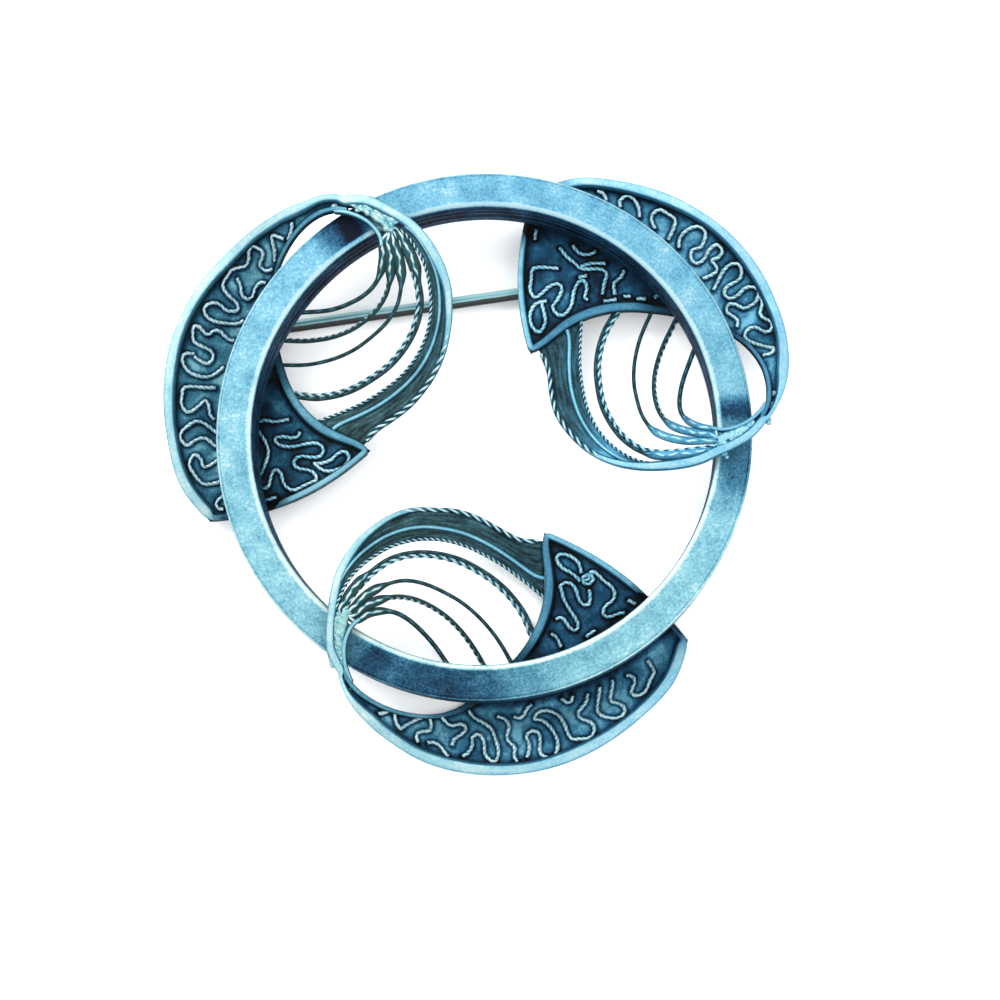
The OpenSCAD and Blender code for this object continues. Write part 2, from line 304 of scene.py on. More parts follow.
class Value:
    """A socket in a finish. Sums and products of it with numbers or other values become Math nodes."""

    def __init__(self, finish, socket):
        self.finish = finish
        self.socket = socket

    def maths(self, operation, a, b):
        """One Math node."""
        return self.finish.add("ShaderNodeMath", {"operation": operation}, {0: a, 1: b})

    def __add__(self, other):
        return self.maths("ADD", self, other)

    def __radd__(self, other):
        return self.maths("ADD", other, self)

    def __sub__(self, other):
        return self.maths("SUBTRACT", self, other)

    def __rsub__(self, other):
        return self.maths("SUBTRACT", other, self)

    def __mul__(self, other):
        return self.maths("MULTIPLY", self, other)

    def __rmul__(self, other):
        return self.maths("MULTIPLY", other, self)

    def held(self):
        """The value kept between 0 and 1."""
        return self.maths("MINIMUM", self.maths("MAXIMUM", self, 0.0), 1.0)


print("operators", [name for name in vars(Value) if name.endswith(("add__", "sub__", "mul__"))])

# %% [markdown]
# ## A finish and its one way to add a node
# Each node gets its settings first, because some of them change which sockets it has, and then a value or a
# link for each input. The node's wanted output comes back as a value, ready for more sums.

# %% Class that builds a finish


class Finish:
    """A material whose nodes are added one at a time."""

    def __init__(self, name):
        self.material = bpy.data.materials.new(name)
        self.material.use_nodes = True
        self.tree = self.material.node_tree
        self.shader = self.tree.nodes["Principled BSDF"]

    def add(self, kind, settings=None, inputs=None, output=0):
        """One new node: settings first, then a number or a link for each input. Gives back one output."""
        node = self.tree.nodes.new(kind)
        for key, value in (settings or {}).items():
            if key == "stops":
                self.spread(node.color_ramp, value)
            else:
                setattr(node, key, value)
        for key, value in (inputs or {}).items():
            self.set(node.inputs[key], value)
        return Value(self, node.outputs[output])

    def spread(self, ramp, stops):
        """Colours along a ramp, which starts with two. Each stop is a place from 0 to 1 and a colour."""
        for place, _ in stops[2:]:
            ramp.elements.new(place)
        for element, (place, colour) in zip(ramp.elements, sorted(stops)):
            element.position = place
            element.color = (*colour, 1)

    def set(self, socket, value):
        """Links a value to a socket, or types a number in."""
        if isinstance(value, Value):
            self.tree.links.new(value.socket, socket)
        else:
            socket.default_value = value

    def place(self):
        """The point's place in the object's own metres."""
        return self.add("ShaderNodeTexCoord", output="Object")

    def read(self, name):
        """An attribute that travels with the mesh. A mesh without it gives 0."""
        return self.add("ShaderNodeAttribute", {"attribute_name": name}, output="Fac")

    def noise(self, place, scale, detail=2.0, rough=0.5):
        """Cloudy noise from 0 to 1, finer as its scale grows."""
        return self.add("ShaderNodeTexNoise", {}, {"Vector": place, "Scale": scale, "Detail": detail,
                                                  "Roughness": rough}, output="Fac")

    def ramp(self, value, *stops):
        """The colour that a value picks between the stops."""
        return self.add("ShaderNodeValToRGB", {"stops": list(stops)}, {"Fac": value}, output="Color")

    def times(self, first, second):
        """Two colours multiplied by a Mix node."""
        return self.add("ShaderNodeMix", {"data_type": "RGBA", "blend_type": "MULTIPLY"},
                        {"Factor": 1.0, "A": first, "B": second}, output="Result")

    def dot(self, vector, direction):
        """How far a vector reaches along a direction, by Vector Math."""
        return self.add("ShaderNodeVectorMath", {"operation": "DOT_PRODUCT"}, {0: vector, 1: direction},
                        output="Value")

    def bump(self, height, strength, distance):
        """A normal that makes a height look real."""
        return self.add("ShaderNodeBump", {}, {"Height": height, "Strength": strength,
                                              "Distance": distance}, output="Normal")

    def done(self, **inputs):
        """Fills the shader's inputs, with _ for each space in their names, and gives the material."""
        for key, value in inputs.items():
            self.set(self.shader.inputs[key.replace("_", " ")], value)
        return self.material


print("materials so far", len(bpy.data.materials))

# %% [markdown]
# ## Silver, oxide, wear and painted light
# Oxidised silver is one metal in a whole range of tones. The darkest is the blue-black oxide left in hollows,
# then a petrol blue where it was half rubbed away, and a pale icy silver on high places. Each shape carries
# an attribute from 0 in a hollow to 1 on a ridge, which mixes this wear with painted light: painted highlights
# on faces and ridges turned up, and painted shade on walls, undersides and under the hoop. The finish adds
# blotches, streaks and grain to it before it picks a tone. The oxide also differs over the jewel: greenish on
# the left leaf, a clear blue on the right one, and duller at the lower edge.

# %% Tones of silver and oxide
STUDIO_LIGHT = 2.25


def tone(red, green, blue):
    """The colour a surface needs in this studio's light to be seen as a display colour from 0 to 255."""
    c = np.array([red, green, blue]) / 255
    return tuple(np.where(c <= 0.04045, c / 12.92, ((c + 0.055) / 1.055) ** 2.4) / STUDIO_LIGHT)


ICE = tone(220, 250, 255)
PALE = tone(146, 216, 240)
STEEL = tone(80, 150, 184)
PETROL = tone(32, 84, 112)
NAVY = tone(8, 44, 66)
MOSS = tone(20, 44, 48)
SOOT = tone(3, 11, 15)
print("from darkest to brightest green channel", round(float(SOOT[1]), 4), "to", round(float(ICE[1]), 3))

# %% [markdown]
# ## The recipe for oxidised silver
# The same recipe serves every worn piece. Clouds give the blotches, a stretched noise the fine lines of the
# drawbench along a strip, and specks the tarnish. Their sum with each shape's wear and painted light picks the
# tone, and two soft tints over the whole jewel follow how the oxide's colour changes from left to right and
# towards the lower edge.

# %% Oxidised silver
CLOUD_SCALE = 420.0
SPECK_SCALE = 4300.0
LINE_SCALE = 1.6
LINE_ALONG = 0.35
LINE_ACROSS = 9.0
HALF_WIDTH_M = 0.026
HALF_DEPTH_M = 0.025
RELIEF_M = 0.00003
LEFT_TO_RIGHT = [(0, (0.98, 1.0, 0.9)), (1, (0.8, 0.99, 1.04)), (0.3, (0.98, 1.0, 0.94)),
                 (0.62, (0.9, 1.0, 1.02))]
DULL_LOWER_EDGE = ((0.88, 0.88, 0.88), (1, 1, 1))


def oxidised(name, tones, blotch=0.3, grain=0.25, streak=0.2, rough=(0.75, 0.42), relief=0.35,
             hues=LEFT_TO_RIGHT, ends=DULL_LOWER_EDGE, fine=SPECK_SCALE):
    """Oxidised silver: level = wear and painted light + 2 blotch (cloud - 1/2) + 2 streak (line - 1/2) + 2
    grain (speck - 1/2).
    The stops in tones give its colour, hues tint it from left to right and ends from bottom to top."""
    f = Finish(name)
    place = f.place()
    cloud = f.noise(place, CLOUD_SCALE, 4.0, 0.6)
    speck = f.noise(place, fine, 3.0, 0.65)
    lengthwise = f.add("ShaderNodeCombineXYZ", {}, {"X": f.read("run") * LINE_ALONG,
                                                    "Y": f.read("side") * LINE_ACROSS})
    line = f.noise(lengthwise, LINE_SCALE, 3.0, 0.6)
    level = (f.read("rub") + (cloud - 0.5) * blotch * 2 + (line - 0.5) * streak * 2
             + (speck - 0.5) * grain * 2).held()
    tint = f.ramp(f.dot(place, (0.5 / HALF_WIDTH_M, 0, 0)) + 0.5, *hues)
    upward = f.ramp(f.dot(place, (0, 0.5 / HALF_DEPTH_M, 0)) + 0.5, (0, ends[0]), (1, ends[1]))
    colour = f.times(f.times(f.ramp(level, *tones), tint), upward)
    return f.done(Base_Color=colour, Roughness=rough[0] + level * (rough[1] - rough[0]),
                  Metallic=0.15 + level * 0.4, Specular_IOR_Level=0.12,
                  Normal=f.bump(speck + cloud * 0.5 + line * 0.6, relief, RELIEF_M))


print("tints reach over", 2 * HALF_WIDTH_M / MM, "by", 2 * HALF_DEPTH_M / MM, "mm")

# %% [markdown]
# ## One finish for each kind of part
# Cloth and fingers wear each part in its own way. The hoop's face is bright with dark specks, the strips are
# evenly rubbed, the wires keep a greenish oxide in their twists, and the sheets stay dark.

# %% Finishes
hoop_silver = oxidised(
    "hoop_silver", [(0, tone(5, 22, 44)), (1, ICE), (0.22, tone(24, 80, 120)), (0.5, STEEL), (0.8, PALE)],
    blotch=0.32, grain=0.34, streak=0.16,
    hues=[(0, (1.0, 0.99, 0.96)), (1, (0.95, 0.99, 0.98))],
    ends=((1.3, 1.08, 0.94), (0.7, 0.8, 0.88)))
strip_silver = oxidised(
    "strip_silver", [(0, SOOT), (1, ICE), (0.28, PETROL), (0.56, STEEL), (0.82, PALE)],
    blotch=0.16, grain=0.16, streak=0.14,
    hues=[(0, (1.2, 1.06, 0.96)), (1, (0.78, 0.9, 0.97)), (0.35, (1.14, 1.03, 0.93)),
          (0.65, (0.92, 0.95, 0.96))])
wire_silver = oxidised(
    "wire_silver", [(0, SOOT), (1, ICE), (0.2, MOSS), (0.42, tone(54, 90, 96)), (0.64, STEEL), (0.84, PALE)],
    blotch=0.16, grain=0.14, streak=0.0,
    hues=[(0, (1.05, 1.0, 0.9)), (1, (0.6, 0.98, 1.14)), (0.4, (1.0, 1.0, 0.96)),
          (0.65, (0.85, 0.98, 1.02))])
knot_silver = oxidised(
    "knot_silver", [(0, SOOT), (1, ICE), (0.26, MOSS), (0.46, STEEL), (0.62, PALE)],
    blotch=0.3, grain=1.5, streak=0.0, relief=0.5, fine=1700.0,
    hues=[(0, (0.8, 0.92, 0.84)), (1, (0.7, 0.95, 1.02)), (0.35, (0.8, 0.93, 0.86)),
          (0.65, (0.74, 0.92, 0.98))],
    ends=((0.55, 0.66, 0.7), (1, 1, 0.98)))
filling_silver = oxidised(
    "filling_silver", [(0, SOOT), (1, ICE), (0.3, NAVY), (0.6, STEEL), (0.84, PALE)],
    blotch=0.36, grain=0.2, streak=0.0, hues=[(0, (0.95, 0.98, 1.0)), (1, (0.86, 1.0, 1.03))])
web_silver = oxidised(
    "web_silver", [(0, SOOT), (1, PALE), (0.25, MOSS), (0.5, tone(62, 94, 96)), (0.8, tone(96, 158, 176))],
    blotch=0.3, grain=0.2, streak=0.5,
    hues=[(0, (1, 1, 0.95)), (1, (0.5, 0.95, 1.35)), (0.4, (0.85, 0.98, 1.08))])
sheet_silver = oxidised(
    "sheet_silver", [(0, SOOT), (1, PALE), (0.24, tone(8, 46, 72)), (0.52, tone(30, 90, 124)), (0.8, STEEL)],
    blotch=0.8, grain=0.26, streak=0.0, rough=(0.8, 0.55))
print("finishes", ", ".join(material.name for material in bpy.data.materials))

# %% [markdown]
# ## The hoop
# The hoop is strip metal bent round, with a broad flat face, straight walls and a worn bevel on every edge.
# A small profile carried round a circle gives it. Each bevel carries a painted highlight. The walls are
# painted in shade, the inner wall near black, and its fine drawn lines are painted lighter as reflections. The
# face keeps oxide where cloth can't rub it: close beside each knot, and all along the lower stretch.

# %% Profile of the hoop
RING_R = 22.0
BORE_R = 19.1
RING_Z = 0.6
RING_TOP = 4.8
FACE_W = RING_R - BORE_R
STRIP_R = 20.5
INNER_BEVEL = (0.34, 0.2)
OUTER_BEVEL = (0.2, 0.2)
DRAWN_LINES = (1.15, 2.35, 3.2)
LINE_DEPTH = 0.035


def round_edge(width, height, count=5):
    """A worn edge as insets from wall and top: width (1 - cos a), height (1 - sin a) for a quarter turn."""
    a = np.linspace(0, math.pi / 2, count)
    return np.column_stack([width * (1 - np.cos(a)), height * (1 - np.sin(a))])


def hoop_profile():
    """Section of the strip as columns: offset from the bore, height over its foot, and wear with painted
    light. It goes over the inner bevel, the face and the outer bevel, down the wall, and up the bore with its
    drawn lines.
    The bevels are painted as highlights, the walls and the bore as shade, and the lines as lighter
    reflections."""
    tall = RING_TOP - RING_Z
    inner, outer = round_edge(*INNER_BEVEL), round_edge(*OUTER_BEVEL)
    # Inner bevel: its bright values are a painted highlight.
    rows = [(x, tall - z, rub) for (x, z), rub in zip(inner, (0.35, 0.75, 1.05, 1.1, 0.98))]
    rows += [(x, tall, 0.76) for x in np.linspace(0.5, FACE_W - 0.35, 9)]
    # Outer bevel: a painted highlight too.
    rows += [(FACE_W - x, tall - z, rub) for (x, z), rub in zip(outer[::-1], (0.6, 0.9, 1.0, 0.7, 0.35))]
    # The outer wall and the edges below are painted in shade.
    rows += [(FACE_W, z, 0.3) for z in (3.6, 2.4, 1.2)]
    rows += [(FACE_W - x, z, 0.4) for x, z in outer]
    rows += [(x, z, 0.25) for x, z in outer[::-1]]
    # Up the bore: painted near-black shade, with each groove lighter as a painted reflection.
    for z in DRAWN_LINES:
        rows += [(0.0, z - 0.12, 0.02), (-LINE_DEPTH, z - 0.04, 0.34),
                 (-LINE_DEPTH, z + 0.04, 0.34), (0.0, z + 0.12, 0.02)]
    return np.array(rows).T


print("the hoop's section has", hoop_profile().shape[1], "points")

# %% [markdown]
# ## The hoop's wear and its skin
# A hand-made hoop is never quite even, so its radius and height waver by a few hundredths of a millimetre.
# The oxide left on its face is a short table of soft patches.

# %% Wear and skin of the hoop
WAVER = 0.02
# Oxide left on the face: azimuth and spread in degrees, depth, and the share of the face where it grows
PATCHES = [(122.6, 3.6, 0.95, 0.25), (4.5, 3.0, 0.55, 0.2), (-9.0, 7.0, 0.45, 0.6), (262.0, 22.0, 0.6, 0.2),
           (244.0, 6.0, 0.25, 0.4), (128.5, 3.0, 0.3, 0.8)]


def waver(angle, seed, size, waves=(2, 3, 5, 8)):
    """Hand-made unevenness: size times the sum of sin(k angle + phase) over the root of k, phases seeded."""
    phases = np.random.default_rng(seed).uniform(0, 2 * math.pi, len(waves))
    return size * sum(np.sin(k * angle + p) / math.sqrt(k) for k, p in zip(waves, phases))


def hoop_oxide(angle, offset, height):
    """Sum of depth exp(-(away / spread)^2) smooth(0.4 + share / (grows + 0.2)) over the patches. Walls get
    0.3 of it, and the bevel at the bore 0.3 too, so that its painted highlight stays bright."""
    share = np.clip(offset / FACE_W, 0, 1)[None, :]
    dark = 0
    for azimuth, spread, depth, grows in PATCHES:
        away = (np.degrees(angle) - azimuth + 180) % 360 - 180
        dark = dark + depth * np.exp(-(away / spread) ** 2) * smooth(0.4 + share / (grows + 0.2))
    kept_highlight = (height > 4)[None, :] * (share < 0.13)
    reached = np.where(height > 3.9, 1.0, 0.3)[None, :]
    return dark * reached * (1 - 0.7 * kept_highlight)


def hoop(steps=900):
    """Point at angle a: the profile's radius and height plus wavers, as (r cos a, r sin a, z)."""
    offset, height, rub = hoop_profile()
    angle = np.linspace(0, 2 * math.pi, steps, endpoint=False)[:, None]
    radius = BORE_R + offset + waver(angle, 3, WAVER)
    z = RING_Z + height + waver(angle, 4, WAVER, (3, 4, 7)) * (height > 2) - WAVER * (height > 4)
    points = np.stack([radius * np.cos(angle), radius * np.sin(angle), z + 0 * angle], -1)
    return points, rub[None, :] - hoop_oxide(angle, offset, height), angle * STRIP_R, offset + 0 * angle


points, rub, run, side = hoop()
skin("hoop", "brooch", "bright_silver", hoop_silver, [points], ["ring"], ring=True,
     rub=[rub], run=[run], side=[side])

# %% [markdown]
# ## The shape of a leaf
# All three leaves are one design, drawn with x outward through the knot and y along the leaf. The sheet runs
# under the hoop: it is lifted over it at the knot, dives outside it, and cups upward on both sides. Each leaf
# sits a little differently, and its fan was bent by hand, so every leaf has its own outline from the inner
# tip round the fan, past the knot and over the hoop.

# %% Places that were traced for the leaves
RIM = [[5, 22.2], [8, 23.2], [12, 24.2], [18, 25.3], [26, 26.4], [36, 27], [46, 27.1], [56, 26.65],
       [66, 25.9], [75, 25], [83, 23.3]]
EDGE = [[5.5, 21.3], [8, 22], [13, 22.6], [19, 22.8], [26, 22.4], [32, 21.3], [38, 19.5], [44, 17.75],
        [50, 16.1], [56, 14.2], [61, 12.2], [66, 9.8], [71, 8.6]]
FAN_ROWS = 14
# Name, turn round the hoop, twist there, outward shift, sideways shift of the wires, bulge of the rim beside
# the knot, width of the strip beside the knot, and the outline from the inner tip to the hoop's outer side
LEAVES = [
    ("right", -3.8, 3.5, 1.1, 0.75, 0.0, 0.86,
     [(3.5, 8.15), (4.05, 6.7), (4.25, 4.9), (4.7, 3.1), (5.6, 1.6), (6.8, 0.25), (8, -0.7), (9.4, -1.4),
      (10.8, -1.8), (12.3, -2), (13.9, -2), (15.4, -1.85), (16.8, -1.5), (18.1, -0.9), (19.4, -0.35),
      (20.6, 0.35), (21.4, 1.05)]),
    ("left", 115.6, -2.4, 0.0, 0.0, 0.8, 1.0,
     [(3.45, 8.2), (3.95, 7), (4.2, 5.5), (4.6, 3.8), (5.3, 2.2), (6.3, 0.6), (7.6, -0.8), (9.1, -1.9),
      (10.6, -2.7), (12.2, -3.3), (13.8, -3.5), (15.3, -3.42), (16.7, -3.2), (18.1, -2.75), (19.2, -2.2),
      (20.2, -1.45), (21.3, -0.6), (22.2, 0.4)]),
    ("bottom", 235.0, -1.2, 0.8, 0.0, 0.0, 0.82,
     [(3.45, 8.2), (4.2, 6.9), (4.5, 5), (4.8, 3.1), (5.4, 1.4), (6.4, -0.1), (7.5, -1.55), (8.9, -2.55),
      (10.4, -3.15), (12.1, -3.5), (13.9, -3.5), (15.6, -3.2), (16.9, -2.65), (18.1, -2.05), (19.2, -1.4),
      (20.3, -0.65), (21.2, 0.2)])]
print("traced places", sum(len(row[-1]) for row in LEAVES))

# %% [markdown]
# ## Sizes of a leaf
# The sheet is half a millimetre thick. Outside the hoop and inside its bore it curls up from its seat, and at
# the knot it is lifted over the hoop. The lift fades out along the leaf.

# %% Sizes of a leaf
PLATE_T = 0.5
SEAT_OUT = RING_R + 0.6
SEAT_IN = BORE_R - 0.6
CUP_OUT = 0.21
CUP_IN = 0.07
LIFT = RING_TOP + 0.2
LIFT_UNTIL = 9
LIFT_FADE = 22
BULGE_UNTIL = 5
BULGE_FADE = 8
END_BOW = 1.2
PIVOT = np.array([STRIP_R, 0.0])
print("the sheet is lifted by", LIFT, "mm at the knot")

# %% [markdown]
# ## One class for a leaf
# It answers the jeweller's questions about a leaf: where a traced place comes to lie, how high the sheet is
# there, and which place belongs to a share of the leaf's length and width.

# %% Leaf


class Leaf:
    """The common design as one leaf wears it, in level millimetres round the hoop's centre."""

    def __init__(self, name, turn, twist, out, side, bulge, strip, outline):
        self.name, self.turn, self.twist = name, math.radians(turn), math.radians(twist)
        self.out, self.side, self.bulge, self.strip, self.outline = out, side, bulge, strip, outline

    def set(self, p):
        """The design turned about the middle of the hoop's strip at the knot, then moved outward."""
        c, s = math.cos(self.twist), math.sin(self.twist)
        return (p - PIVOT) @ np.array([[c, s], [-s, c]]) + PIVOT + [self.out, 0]

    def bent(self, angle, radius):
        """Polar places of the design on this leaf: (r cos a, r sin a), set."""
        a = np.radians(angle)
        return self.set(radius[..., None] * np.stack([np.cos(a), np.sin(a)], -1))

    def rim(self, t):
        """Outer rim. Beside the left knot it bulges, which dies out smoothly from 5 to 13 degrees."""
        angle, radius = np.moveaxis(along(RIM, t), -1, 0)
        return self.bent(angle, radius + self.bulge * (1 - smooth((angle - BULGE_UNTIL) / BULGE_FADE)))

    def edge(self, t):
        """Inner edge of the leaf."""
        return self.bent(*np.moveaxis(along(EDGE, t), -1, 0))

    def width(self, t):
        """Straight across from rim to edge."""
        return np.linalg.norm(self.edge(t) - self.rim(t), axis=-1)

    def bed(self, p):
        """Middle of the sheet: 1/4 + 0.21 (r - 22.6)^1.5 outside, 0.07 (18.5 - r)^1.5 inside, and a lift of
        5 that eases away from 9 to 31 degrees."""
        radius = np.linalg.norm(p, axis=-1)
        angle = np.degrees(np.arctan2(p[..., 1], p[..., 0]))
        return (PLATE_T / 2 + CUP_OUT * np.maximum(0, radius - SEAT_OUT) ** 1.5
                + CUP_IN * np.maximum(0, SEAT_IN - radius) ** 1.5
                + LIFT * (1 - smooth((angle - LIFT_UNTIL) / LIFT_FADE)))

    def at(self, t, v):
        """Place t along and v across: rim + v (edge - rim), bowed forward by 4 v (1 - v) towards the end."""
        rim, across = self.rim(t), self.edge(t) - self.rim(t)
        ahead = np.stack([across[..., 1], -across[..., 0]], -1)
        ahead = ahead / np.linalg.norm(across, axis=-1, keepdims=True)
        bow = END_BOW * smooth(2 * t - 1) * 4 * v * (1 - v)
        return rim + v[..., None] * across + bow[..., None] * ahead

    def laid(self, points):
        """Turns the leaf's own points round the hoop to where its knot sits."""
        c, s = math.cos(self.turn), math.sin(self.turn)
        x, y = points[..., 0], points[..., 1]
        return np.stack([c * x - s * y, s * x + c * y, points[..., 2]], -1)


def with_height(p, z):
    """Points in plan with their heights as a third column."""
    return np.concatenate([p, np.broadcast_to(z, p.shape[:-1])[..., None]], -1)


leaves = [Leaf(*row) for row in LEAVES]
print("widths halfway along", [round(float(leaf.width(np.array(0.5))), 2) for leaf in leaves])

# %% [markdown]
# ## The filling wires
# The filigree worker bends fine twisted wire into wandering hairpins and solders them flat on the sheet. No
# rule makes them, so their bends were traced: a few places per bend, in the millimetres of the leaf's design.

